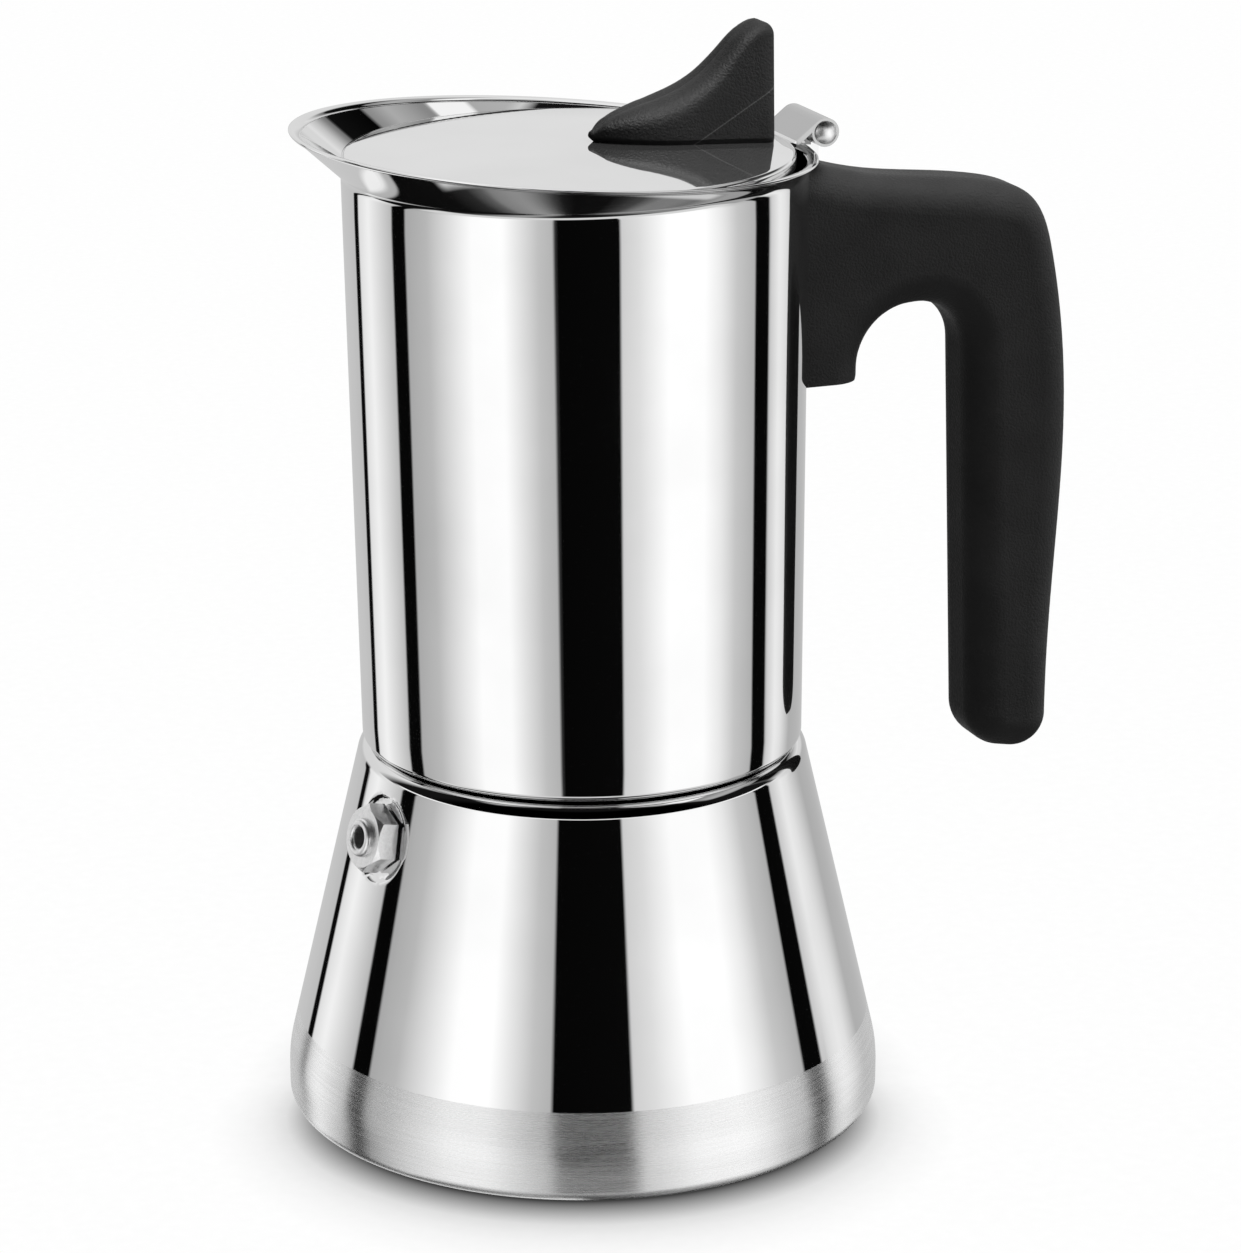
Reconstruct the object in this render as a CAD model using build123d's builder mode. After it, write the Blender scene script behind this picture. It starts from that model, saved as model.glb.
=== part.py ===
from build123d import *
import os
from math import asin, atan, atan2, cos, hypot, pi, radians, sin, sqrt, tan

os.makedirs("parts", exist_ok=True)

# Moka pot, millimetres. The origin is on the table under the middle of the boiler.
# +Z is up, the handle points along +X and the spout along -X.

# Fits
slide_gap = 0.3  # between curved faces of pieces that move past each other
snug_gap = 0.05  # around pieces that are pressed or screwed together
joint_gap = 0.4  # left open between boiler and collector when screwed tight

# Boiler
base_r = 50.7
base_edge_r = 2.0
foot_lift = 0.3  # the shell's rounded edge stays clear of the table
belt_z = 8.15  # the upright foot ends and the cone begins
belt_run = 2.6  # length of the blend between them, to each side
cone_top_r = 37.45  # where the cone would meet the plane of the mouth
boiler_top_z = 64.3
shoulder_r = 3.0
mouth_in = 4.45  # of the mouth inside the top of the cone
boiler_wall = 1.0
floor_edge_r = 1.0  # inside, between floor and wall
base_plate_t = 2.5
base_plate_in = 6.3  # of the plate's seat inside the foot
base_plate_gap = 0.15

# Threaded neck with the ledge that carries the funnel
neck_wall = 1.2
neck_depth = 7.3
ledge_t = 1.0
ledge_w = 2.8

# Funnel with its stem
funnel_t = 0.8
flange_gap = 0.4
basket_gap = 0.8
basket_depth = 21.0
sieve_step = 2.6  # width of the flat ring under the sieve
slope_h = 7.0
stem_r = 5.0
stem_seat = 4.0  # of the stem in the funnel's collar
stem_lift = 4.5  # of its open end over the boiler's floor
sieve_t = 0.6
sieve_hole_r = 1.0
sieve_pitch = 6.8
sieve_rings = 3

# Gasket and filter plate
gasket_t = 3.0
gasket_w = 5.5
filter_t = 0.6
filter_dish = 0.8
filter_hole_r = 0.8
filter_pitch = 5.0
filter_rings = 4

# Collector
sheet = 0.8
collector_r = 37.1
collector_edge_r = 2.4
flare_r = 38.15
flare_x = -0.95
flare_z = 161.8
flare_tilt = 0.02
flare_blend_r = 1.8
rim_out = 4.85  # of the rim's radius beyond the flare's
rim_x = -4.6
rim_rise = 3.95
rim_tilt = -0.0645
drain_r = 9.0  # hole in the collector floor under the column

# Male thread ring under the collector
ring_wall = 1.5
ring_clear = 0.4  # over the funnel flange
ring_step = 2.2  # inward step that stops the filter plate

# Column
column_flange_r = 13.0
column_flange_t = 0.8
column_foot_r = 10.2
column_waist_r = 6.2
column_foot_h = 19.0
column_top_r = 5.2
column_drop = 24.8  # of its end below the flare
column_wall = 1.0
cap_grip = 8.0
cap_wall = 1.0
cap_chamber = 4.0
cap_window_w = 4.0
cap_window_h = 2.4

# Lid and hinge
lid_in = 1.15  # of the lid's radius inside the flare's
lid_back = 1.05  # of the lid's centre towards the spout
lid_rise = 2.5  # of the lid's edge over the flare
lid_dome = 1.2
lid_skirt = 2.0
lid_edge_r = 0.7
crease_in = 0.2
tab_half = 7.0
pin_out = 3.1  # of the pin beyond the flare
pin_rise = 3.8
pin_r = 0.95
pin_run_gap = 0.05
pin_head_r = 1.45
pin_head_t = 0.8
barrel_r = 2.4
barrel_wrap = 45.0  # where the rolled middle of the tab stops, degrees above +X
knuckle_half = 3.0
knuckle_r = 1.55
bracket_t = 1.4
bracket_drop = 6.0  # of the bracket's foot below the flare
bracket_out = 0.5  # of the bracket's back face beyond the pin

# Knob: a fin that rises from a sharp nose; places are measured from its back, heights from the lid's edge
knob_gap = 3.0  # between its back and the crease
knob_half = 7.0
knob_full = 14.8  # full width from here to the back
knob_l = 30.5
knob_taper = 4.0  # degrees, of the sides
knob_nose_h = 1.9
knob_brow = 27.8
knob_brow_h = 4.4
knob_crest = 21.3
knob_crest_h = 7.3
knob_dip = 16.8
knob_dip_h = 8.2
knob_slope = 8.0
knob_slope_h = 13.3
knob_tip = 1.6
knob_tip_h = 19.7
knob_edge_r = 2.5
knob_back_r = 1.0
knob_tip_r = 1.5  # at the top of the back
knob_screw_in = 11.8
knob_screw_r = 1.6
knob_screw_grip = 7.0
knob_head_r = 3.2
knob_head_t = 1.6
knob_head_edge_r = 0.8

# Handle
handle_half = 8.0
root_out = 10.8  # of the root beyond the collector's wall
root_drop = 38.9  # of the root's lower end below the flare
root_top_rise = 0.1
root_slope = 0.39  # of the saddle where it meets the collector
root_corner = 1.3
arch_lip = 1.0  # upright part between the root's lower end and the arch
arch_in_r = 10.1
arch_out_r = 8.6
arch_slant = 1.5  # rise of its top towards the grip
arch_flat = 0.7
grip_l = 79.0
grip_lean = 2.8  # outwards, from the arch to the end
grip_end_slant = 2.7
grip_end_w = 14.9
grip_foot_h = 9.7  # upright part of the grip's outside at the end
grip_belly_w = 19.7
grip_belly_z = 47.8  # below the flare
grip_neck_w = 16.6
grip_neck_z = 19.8
grip_brow_w = 12.5
grip_brow_z = 10.3
bridge_w = 4.0
bridge_z = 7.0
saddle_out = 13.4
saddle_z = 4.5
grip_end_in_r = 7.0
grip_end_out_r = 6.0
handle_edge_r = 5.6

# Handle bracket, a tongue welded to the collector, and its screw from below
tongue_out = 6.9
tongue_half = 4.0
tongue_over_arch = 6.0
tongue_h = 12.0
handle_screw_out = 4.1
handle_screw_r = 1.9
handle_screw_grip = 7.0
handle_head_r = 3.4
handle_head_t = 2.6
handle_head_edge_r = 0.9
handle_head_depth = 5.0

# Safety valve, placed by its direction round the boiler and its height on the cone
valve_turn = 193.0
valve_drop = 11.1  # below the mouth
valve_sink = 0.7  # of the pressed flat below the cone
valve_flat_r = 7.0
valve_pad_r = 7.6
valve_washer_t = 0.4
valve_washer_r = 4.7
valve_hex = 10.0
valve_hex_t = 3.6
valve_shank_r = 3.7
valve_reach = 5.0  # of the shank behind the flat
valve_cell_r = 2.6
valve_inlet_r = 1.1
valve_inlet_t = 1.2
valve_nut_hex = 9.0
valve_nut_t = 2.2
retainer_grip = 1.4
retainer_bead_r = 3.2
retainer_bead_t = 1.0
retainer_bead_edge_r = 0.6
retainer_hole_r = 1.75
plunger_head_t = 1.0
plunger_stem_r = 1.1
plunger_stem_l = 3.6
spring_r = 1.9
spring_wire_r = 0.25
spring_turns = 4


def tilted(x, z, tilt):
    """Plane of a tilted ring: centred at x on the pot's middle, at height z over the origin."""
    return Plane(origin=(x, 0, z + tilt * x), x_dir=(1, 0, tilt), z_dir=(-tilt, 0, 1))


def rings_of_circles(rings, pitch, radius):
    """Circles for holes: one in the middle, then rings of six, twelve, eighteen and so on."""
    Circle(radius)
    for ring in range(1, rings + 1):
        with PolarLocations(ring * pitch, 6 * ring):
            Circle(radius)


def dome_arc(radius, foot, rise):
    """Profile of a shallow dome, from its middle to its edge at the height of its foot."""
    ball_r = (radius**2 + rise**2) / (2 * rise)
    middle = radius / 2
    ThreePointArc(
        (0, foot + rise),
        (middle, foot + rise - ball_r + sqrt(ball_r**2 - middle**2)),
        (radius, foot),
    )


def round_corner(sketch, point, radius):
    """Round the corner of a profile that lies nearest to the point."""
    fillet(sketch.vertices().sort_by_distance(point)[0], radius)


# Boiler shell: one drawn cup with a rounded foot, a cone, a shoulder and a turned-in mouth
cone_angle = atan((base_r - cone_top_r) / (boiler_top_z - belt_z))
belt_blend_r = belt_run / tan(cone_angle / 2)
mouth_r = cone_top_r - mouth_in
base_plate_seat_r = base_r - base_plate_in
wall_across = boiler_wall / cos(cone_angle)
shoulder_in_z = boiler_top_z - boiler_wall
cone_in_r = cone_top_r + boiler_wall * tan(cone_angle) - wall_across
belt_in_z = belt_z - (wall_across - boiler_wall) / tan(cone_angle)
floor_z = base_plate_t + boiler_wall

valve_z = boiler_top_z - valve_drop
cone_r = base_r - (valve_z - belt_z) * tan(cone_angle)
valve_out = Vector(cos(radians(valve_turn)), sin(radians(valve_turn)), 0)
valve_axis = valve_out * cos(cone_angle) + Vector(0, 0, 1) * sin(cone_angle)
valve_seat = valve_out * cone_r + Vector(0, 0, valve_z) - valve_axis * valve_sink
valve_up = Vector(0, 0, 1) * cos(cone_angle) - valve_out * sin(cone_angle)
valve_plane = Plane(origin=valve_seat, x_dir=valve_up, z_dir=valve_axis)

with BuildPart() as boiler_shell:
    with BuildSketch(Plane.XZ) as boiler_profile:
        with BuildLine():
            Polyline(
                (0, base_plate_t),
                (base_plate_seat_r, base_plate_t),
                (base_plate_seat_r, foot_lift),
                (base_r, foot_lift),
                (base_r, belt_z),
                (cone_top_r, boiler_top_z),
                (mouth_r, boiler_top_z),
                (mouth_r, shoulder_in_z),
                (cone_in_r, shoulder_in_z),
                (base_r - boiler_wall, belt_in_z),
                (base_r - boiler_wall, floor_z),
                (0, floor_z),
                close=True,
            )
        make_face()
        round_corner(boiler_profile, (base_r, foot_lift), base_edge_r)
        round_corner(boiler_profile, (base_r - boiler_wall, floor_z), floor_edge_r)
        round_corner(boiler_profile, (base_r, belt_z), belt_blend_r)
        round_corner(boiler_profile, (base_r - boiler_wall, belt_in_z), belt_blend_r - boiler_wall)
        round_corner(boiler_profile, (cone_top_r, boiler_top_z), shoulder_r)
        round_corner(boiler_profile, (cone_in_r, shoulder_in_z), shoulder_r - boiler_wall)
    revolve(axis=Axis.Z)
    # flat pressed into the cone for the valve, with its pad inside and the hole for the shank
    with BuildSketch(valve_plane):
        Circle(valve_pad_r)
    extrude(amount=-boiler_wall)
    with BuildSketch(valve_plane):
        Circle(valve_flat_r)
    extrude(amount=valve_flat_r, mode=Mode.SUBTRACT)
    with BuildSketch(valve_plane):
        Circle(valve_shank_r + snug_gap)
    extrude(amount=-2 * boiler_wall, mode=Mode.SUBTRACT)
boiler_shell.part.label = "boiler_shell"
export_step(boiler_shell.part, "parts/boiler_shell.step")

# Base plate: the disc bonded under the boiler, which the pot stands on
with BuildPart() as base_plate:
    with BuildSketch():
        Circle(base_plate_seat_r - base_plate_gap)
    extrude(amount=base_plate_t)
    chamfer(base_plate.edges().sort_by(Axis.Z)[0], foot_lift)
base_plate.part.label = "base_plate"
export_step(base_plate.part, "parts/base_plate.step")

# Boiler neck: threaded ring welded under the mouth, with the ledge for the funnel
ledge_z = boiler_top_z - neck_depth
ledge_r = mouth_r - ledge_w
with BuildPart() as boiler_neck:
    with BuildSketch(Plane.XZ):
        with BuildLine():
            Polyline(
                (mouth_r, shoulder_in_z),
                (mouth_r + neck_wall, shoulder_in_z),
                (mouth_r + neck_wall, ledge_z - ledge_t),
                (ledge_r, ledge_z - ledge_t),
                (ledge_r, ledge_z),
                (mouth_r, ledge_z),
                close=True,
            )
        make_face()
    revolve(axis=Axis.Z)
boiler_neck.part.label = "boiler_neck"
export_step(boiler_neck.part, "parts/boiler_neck.step")

# Funnel: coffee basket with a hanging flange, a sloped floor and a collar for the stem
flange_r = mouth_r - flange_gap
flange_top_z = ledge_z + funnel_t
basket_r = ledge_r - basket_gap
basket_in_r = basket_r - funnel_t
basket_floor_z = flange_top_z - basket_depth
slope_r = basket_in_r - sieve_step
collar_in_r = stem_r + snug_gap
collar_r = collar_in_r + funnel_t
collar_z = basket_floor_z - slope_h
slope_step = funnel_t * slope_h / (slope_r - collar_in_r)
with BuildPart() as funnel:
    with BuildSketch(Plane.XZ):
        with BuildLine():
            Polyline(
                (flange_r, ledge_z),
                (basket_r, ledge_z),
                (basket_r, basket_floor_z - funnel_t),
                (slope_r, basket_floor_z - funnel_t),
                (collar_r, collar_z - funnel_t + slope_step),
                (collar_r, collar_z - stem_seat),
                (collar_in_r, collar_z - stem_seat),
                (collar_in_r, collar_z),
                (slope_r, basket_floor_z),
                (basket_in_r, basket_floor_z),
                (basket_in_r, flange_top_z),
                (flange_r, flange_top_z),
                close=True,
            )
        make_face()
    revolve(axis=Axis.Z)
funnel.part.label = "funnel"
export_step(funnel.part, "parts/funnel.step")

# Funnel stem: tube pressed into the collar, open just over the boiler's floor
stem_end_z = floor_z + stem_lift
with BuildPart() as funnel_stem:
    with BuildSketch(Plane.XY.offset(stem_end_z)):
        Circle(stem_r)
        Circle(stem_r - funnel_t, mode=Mode.SUBTRACT)
    extrude(amount=collar_z - stem_end_z)
funnel_stem.part.label = "funnel_stem"
export_step(funnel_stem.part, "parts/funnel_stem.step")

# Funnel sieve: perforated disc on the flat ring at the bottom of the basket
with BuildPart() as funnel_sieve:
    with BuildSketch(Plane.XY.offset(basket_floor_z)):
        Circle(basket_in_r - snug_gap)
    extrude(amount=sieve_t)
    with BuildSketch(Plane.XY.offset(basket_floor_z)):
        rings_of_circles(sieve_rings, sieve_pitch, sieve_hole_r)
    extrude(amount=sieve_t, mode=Mode.SUBTRACT)
funnel_sieve.part.label = "funnel_sieve"
export_step(funnel_sieve.part, "parts/funnel_sieve.step")

# Gasket: flat ring between the funnel flange and the filter plate
ring_out_r = mouth_r - slide_gap
ring_in_r = ring_out_r - ring_wall
gasket_r = ring_in_r - slide_gap
gasket_in_r = gasket_r - gasket_w
gasket_top_z = flange_top_z + gasket_t
with BuildPart() as gasket:
    with BuildSketch(Plane.XY.offset(flange_top_z)):
        Circle(gasket_r)
        Circle(gasket_in_r, mode=Mode.SUBTRACT)
    extrude(amount=gasket_t)
gasket.part.label = "gasket"
export_step(gasket.part, "parts/gasket.step")

# Filter plate: flat rim on the gasket and a raised, perforated middle
filter_top_z = gasket_top_z + filter_t
filter_flat_r = gasket_in_r - filter_dish
with BuildPart() as filter_plate:
    with BuildSketch(Plane.XZ):
        with BuildLine():
            Polyline(
                (0, gasket_top_z + filter_dish),
                (filter_flat_r, gasket_top_z + filter_dish),
                (gasket_in_r, gasket_top_z),
                (gasket_r, gasket_top_z),
                (gasket_r, filter_top_z),
                (gasket_in_r, filter_top_z),
                (filter_flat_r, filter_top_z + filter_dish),
                (0, filter_top_z + filter_dish),
                close=True,
            )
        make_face()
    revolve(axis=Axis.Z)
    with BuildSketch(Plane.XY.offset(gasket_top_z)):
        rings_of_circles(filter_rings, filter_pitch, filter_hole_r)
    extrude(amount=filter_t + 2 * filter_dish, mode=Mode.SUBTRACT)
filter_plate.part.label = "filter_plate"
export_step(filter_plate.part, "parts/filter_plate.step")

# Collector body: a slightly oblique drawn cup whose rim flares out into the spout
collector_z = boiler_top_z + joint_gap
rim_r = flare_r + rim_out
rim_z = flare_z + rim_rise
flare_plane = tilted(flare_x, flare_z, flare_tilt)
rim_plane = tilted(rim_x, rim_z, rim_tilt)
with BuildPart() as collector_outside:
    with BuildSketch(Plane.XY.offset(collector_z)):
        Circle(collector_r)
    with BuildSketch(flare_plane):
        Circle(flare_r)
    with BuildSketch(rim_plane):
        Circle(rim_r)
    loft(ruled=True)
    fillet(collector_outside.edges().filter_by(GeomType.CIRCLE).sort_by(Axis.Z)[0], collector_edge_r)
    flare_edge = collector_outside.edges().sort_by_distance((flare_x - flare_r, 0, flare_z))[0]
    fillet(flare_edge, flare_blend_r)

with BuildPart() as collector_inside:
    with BuildSketch(Plane.XY.offset(collector_z + sheet)):
        Circle(collector_r - sheet)
    with BuildSketch(flare_plane):
        Circle(flare_r - sheet)
    with BuildSketch(rim_plane):
        Circle(rim_r - sheet)
    loft(ruled=True)
    fillet(collector_inside.edges().filter_by(GeomType.CIRCLE).sort_by(Axis.Z)[0], collector_edge_r - sheet)
    flare_edge = collector_inside.edges().sort_by_distance((flare_x - flare_r, 0, flare_z))[0]
    fillet(flare_edge, flare_blend_r + sheet)

with BuildPart() as collector_body:
    add(collector_outside.part)
    add(collector_inside.part, mode=Mode.SUBTRACT)
    with BuildSketch(Plane.XY.offset(collector_z)):
        Circle(drain_r)
    extrude(amount=2 * sheet, mode=Mode.SUBTRACT)
collector_body.part.label = "collector_body"
export_step(collector_body.part, "parts/collector_body.step")

# Thread ring: welded under the collector, it holds the gasket and the filter plate
with BuildPart() as thread_ring:
    with BuildSketch(Plane.XZ):
        with BuildLine():
            Polyline(
                (ring_in_r, flange_top_z + ring_clear),
                (ring_out_r, flange_top_z + ring_clear),
                (ring_out_r, collector_z),
                (ring_in_r - ring_step, collector_z),
                (ring_in_r - ring_step, filter_top_z),
                (ring_in_r, filter_top_z),
                close=True,
            )
        make_face()
    revolve(axis=Axis.Z)
thread_ring.part.label = "thread_ring"
export_step(thread_ring.part, "parts/thread_ring.step")

# Column: tapered riser on the collector floor
column_z = collector_z + sheet
column_waist_z = column_z + column_foot_h
column_top_z = flare_z - column_drop
with BuildPart() as column:
    with BuildSketch(Plane.XZ):
        with BuildLine():
            Polyline(
                (drain_r, column_z),
                (column_flange_r, column_z),
                (column_flange_r, column_z + column_flange_t),
                (column_foot_r, column_z + column_flange_t),
                (column_waist_r, column_waist_z),
                (column_top_r, column_top_z - cap_grip),
                (column_top_r, column_top_z),
                (column_top_r - column_wall, column_top_z),
                (column_top_r - column_wall, column_top_z - cap_grip),
                (column_waist_r - column_wall, column_waist_z),
                close=True,
            )
        make_face()
    revolve(axis=Axis.Z)
column.part.label = "column"
export_step(column.part, "parts/column.step")

# Column cap: closed sleeve with two outlet windows, seated on the column's end
cap_in_r = column_top_r + snug_gap
cap_out_r = cap_in_r + cap_wall
chamber_r = column_top_r - column_wall
cap_top_z = column_top_z + cap_chamber
with BuildPart() as column_cap:
    with BuildSketch(Plane.XZ) as cap_profile:
        with BuildLine():
            Polyline(
                (cap_in_r, column_top_z - cap_grip / 2),
                (cap_out_r, column_top_z - cap_grip / 2),
                (cap_out_r, cap_top_z + cap_wall),
                (0, cap_top_z + cap_wall),
                (0, cap_top_z),
                (chamber_r, cap_top_z),
                (chamber_r, column_top_z),
                (cap_in_r, column_top_z),
                close=True,
            )
        make_face()
        round_corner(cap_profile, (cap_out_r, cap_top_z + cap_wall), cap_wall)
    revolve(axis=Axis.Z)
    with BuildSketch(Plane.XZ):
        with Locations((0, column_top_z + cap_chamber / 2)):
            Rectangle(cap_window_w, cap_window_h)
    extrude(amount=2 * cap_out_r, both=True, mode=Mode.SUBTRACT)
column_cap.part.label = "column_cap"
export_step(column_cap.part, "parts/column_cap.step")

# Lid: shallow dome with a turned-down edge and a tab that is bent up and rolled round the hinge pin
lid_r = flare_r - lid_in
lid_x = flare_x - lid_back
lid_z = flare_z + lid_rise
pin_x = flare_x + flare_r + pin_out
pin_z = flare_z + pin_rise
crease_x = lid_x + lid_r - crease_in
knob_back_x = crease_x - knob_gap
knob_screw_x = knob_back_x - knob_screw_in
lid_plane = Plane(origin=(lid_x, 0, lid_z), x_dir=(1, 0, 0), z_dir=(0, -1, 0))
lid_axis = Axis((lid_x, 0, lid_z), (0, 0, 1))
tab_reach = hypot(pin_x - crease_x, pin_z - lid_z)
tab_rise = atan2(pin_z - lid_z, pin_x - crease_x) + asin(barrel_r / tab_reach)
tab_run = sqrt(tab_reach**2 - barrel_r**2)
tab_top = (crease_x + tab_run * cos(tab_rise), lid_z + tab_run * sin(tab_rise))
tab_in = (tab_top[0] + sheet * sin(tab_rise), tab_top[1] - sheet * cos(tab_rise))
tab_heel = crease_x + sheet * tan(tab_rise / 2)
relief_r = knuckle_r + slide_gap
relief_half = knuckle_half + slide_gap
reach = 3 * barrel_r
wrap = radians(barrel_wrap)
with BuildPart() as lid_outside:
    with BuildSketch(lid_plane) as lid_profile:
        with BuildLine():
            dome_arc(lid_r, 0, lid_dome)
            Polyline((lid_r, 0), (lid_r, -lid_skirt), (0, -lid_skirt), (0, lid_dome))
        make_face()
        round_corner(lid_profile, (lid_r, 0), lid_edge_r)
    revolve(axis=lid_axis)

with BuildPart() as lid:
    add(lid_outside.part)
    with BuildSketch(lid_plane):
        with BuildLine():
            dome_arc(lid_r - sheet, -sheet, lid_dome)
            Polyline(
                (lid_r - sheet, -sheet),
                (lid_r - sheet, -lid_skirt),
                (0, -lid_skirt),
                (0, lid_dome - sheet),
            )
        make_face()
    revolve(axis=lid_axis, mode=Mode.SUBTRACT)
    with BuildSketch(Plane.XZ):
        with BuildLine():
            Polyline(
                (crease_x - sheet, lid_z),
                (crease_x, lid_z),
                tab_top,
                tab_in,
                (tab_heel, lid_z - sheet),
                (crease_x - sheet, lid_z - sheet),
                close=True,
            )
        make_face()
        with Locations((pin_x, pin_z)):
            Circle(barrel_r)
    extrude(amount=tab_half, both=True)
    # bore for the pin, and room in the middle for the bracket's knuckle as the lid swings
    with BuildSketch(Plane.XZ):
        with Locations((pin_x, pin_z)):
            Circle(pin_r + pin_run_gap)
    extrude(amount=tab_half, both=True, mode=Mode.SUBTRACT)
    with BuildSketch(Plane.XZ):
        with Locations((pin_x, pin_z)):
            Circle(relief_r)
        with BuildLine():
            Polyline(
                (pin_x, pin_z),
                (pin_x + reach * cos(wrap), pin_z + reach * sin(wrap)),
                (pin_x + reach, pin_z - reach),
                (pin_x, pin_z - reach),
                (pin_x - reach * cos(tab_rise), pin_z - reach * sin(tab_rise)),
                close=True,
            )
        make_face()
    extrude(amount=relief_half, both=True, mode=Mode.SUBTRACT)
    with Locations((knob_screw_x, 0, lid_z + lid_dome)):
        Hole(knob_screw_r + snug_gap, depth=lid_dome + lid_skirt)
lid.part.label = "lid"
export_step(lid.part, "parts/lid.step")

# Hinge bracket: knuckle in the middle of the barrel on a web welded under the flare
bracket_foot_z = flare_z - bracket_drop
with BuildPart() as hinge_bracket:
    with BuildSketch(Plane.XZ):
        with BuildLine():
            Polyline(
                (pin_x + bracket_out - bracket_t, pin_z),
                (pin_x + bracket_out, pin_z),
                (pin_x + bracket_out, bracket_foot_z + 2 * bracket_t),
                (flare_x + flare_r + bracket_t, bracket_foot_z),
                (flare_r - 2 * bracket_t, bracket_foot_z),
                (flare_r - 2 * bracket_t, flare_z + bracket_t),
                (pin_x + bracket_out - bracket_t, rim_z - 2 * bracket_t),
                close=True,
            )
        make_face()
        with Locations((pin_x, pin_z)):
            Circle(knuckle_r)
            Circle(pin_r, mode=Mode.SUBTRACT)
    extrude(amount=knuckle_half, both=True)
    add(collector_outside.part, mode=Mode.SUBTRACT)
hinge_bracket.part.label = "hinge_bracket"
export_step(hinge_bracket.part, "parts/hinge_bracket.step")

# Hinge pin: fixed in the bracket, with a domed head at each end of the barrel
head_in = tab_half + pin_run_gap
dome_r = (pin_head_r**2 + pin_head_t**2) / (2 * pin_head_t)
dome_half = asin(pin_head_r / dome_r) / 2
dome_x = dome_r * sin(dome_half)
dome_y = head_in + pin_head_t - dome_r * (1 - cos(dome_half))
with BuildPart() as hinge_pin:
    with BuildSketch(Plane.XY.offset(pin_z)):
        with BuildLine():
            Line((pin_x, -head_in - pin_head_t), (pin_x, head_in + pin_head_t))
            ThreePointArc(
                (pin_x, head_in + pin_head_t),
                (pin_x + dome_x, dome_y),
                (pin_x + pin_head_r, head_in),
            )
            Polyline(
                (pin_x + pin_head_r, head_in),
                (pin_x + pin_r, head_in),
                (pin_x + pin_r, -head_in),
                (pin_x + pin_head_r, -head_in),
            )
            ThreePointArc(
                (pin_x + pin_head_r, -head_in),
                (pin_x + dome_x, -dome_y),
                (pin_x, -head_in - pin_head_t),
            )
        make_face()
    revolve(axis=Axis((pin_x, 0, pin_z), (0, 1, 0)))
hinge_pin.part.label = "hinge_pin"
export_step(hinge_pin.part, "parts/hinge_pin.step")

# Lid knob: a fin that rises from a sharp nose to a thumb rest, seated on the dome
knob_nose_x = knob_back_x - knob_l
knob_full_x = knob_back_x - knob_full
knob_tip_x = knob_back_x - knob_tip
with BuildPart() as lid_knob:
    with BuildSketch(Plane.XZ.offset(-knob_half)) as knob_profile:
        with BuildLine():
            Line((knob_nose_x, lid_z), (knob_nose_x, lid_z + knob_nose_h))
            Spline(
                (knob_nose_x, lid_z + knob_nose_h),
                (knob_back_x - knob_brow, lid_z + knob_brow_h),
                (knob_back_x - knob_crest, lid_z + knob_crest_h),
                (knob_back_x - knob_dip, lid_z + knob_dip_h),
                (knob_back_x - knob_slope, lid_z + knob_slope_h),
                (knob_tip_x, lid_z + knob_tip_h),
            )
            Polyline(
                (knob_tip_x, lid_z + knob_tip_h),
                (knob_back_x, lid_z + knob_tip_h),
                (knob_back_x, lid_z),
                (knob_nose_x, lid_z),
            )
        make_face()
        round_corner(knob_profile, (knob_back_x, lid_z + knob_tip_h), knob_tip_r)
    extrude(amount=2 * knob_half)
    # sides that meet in a pointed arch at the nose and lean inwards
    with BuildSketch(Plane.XY.offset(lid_z)):
        with BuildLine():
            Polyline(
                (knob_full_x, -knob_half),
                (knob_back_x + knob_half, -knob_half),
                (knob_back_x + knob_half, knob_half),
                (knob_full_x, knob_half),
            )
            TangentArc((knob_full_x, knob_half), (knob_nose_x, 0), tangent=(-1, 0))
            TangentArc((knob_full_x, -knob_half), (knob_nose_x, 0), tangent=(-1, 0))
        make_face()
    extrude(amount=2 * knob_tip_h, taper=knob_taper, mode=Mode.INTERSECT)
    high_edges = lid_knob.edges().filter_by(lambda e: e.center().Z > lid_z + knob_nose_h)
    fillet(high_edges.filter_by(lambda e: e.bounding_box().size.X > knob_tip), knob_edge_r)
    back_face = lid_knob.faces().filter_by(Axis.X).sort_by(Axis.X)[-1]
    fillet(back_face.edges().filter_by(lambda e: e.length > knob_tip_h / 2).sort_by(Axis.Z)[1:], knob_back_r)
    add(lid_outside.part, mode=Mode.SUBTRACT)
    with Locations(Plane(origin=(knob_screw_x, 0, lid_z), z_dir=(0, 0, -1))):
        Hole(knob_screw_r + snug_gap, depth=knob_screw_grip + slide_gap)
lid_knob.part.label = "lid_knob"
export_step(lid_knob.part, "parts/lid_knob.step")

# Knob screw: from under the lid
knob_head_out = (knob_screw_x + knob_head_r - lid_x) / lid_r
knob_head_z = lid_z - sheet - snug_gap + lid_dome * (1 - knob_head_out**2)
with BuildPart() as knob_screw:
    with BuildSketch(Plane.XY.offset(knob_head_z)):
        with Locations((knob_screw_x, 0)):
            Circle(knob_head_r)
    extrude(amount=-knob_head_t)
    fillet(knob_screw.edges().sort_by(Axis.Z)[0], knob_head_edge_r)
    with BuildSketch(Plane.XY.offset(knob_head_z)):
        with Locations((knob_screw_x, 0)):
            Circle(knob_screw_r)
    extrude(amount=lid_z + knob_screw_grip - knob_head_z)
knob_screw.part.label = "knob_screw"
export_step(knob_screw.part, "parts/knob_screw.step")

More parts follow.
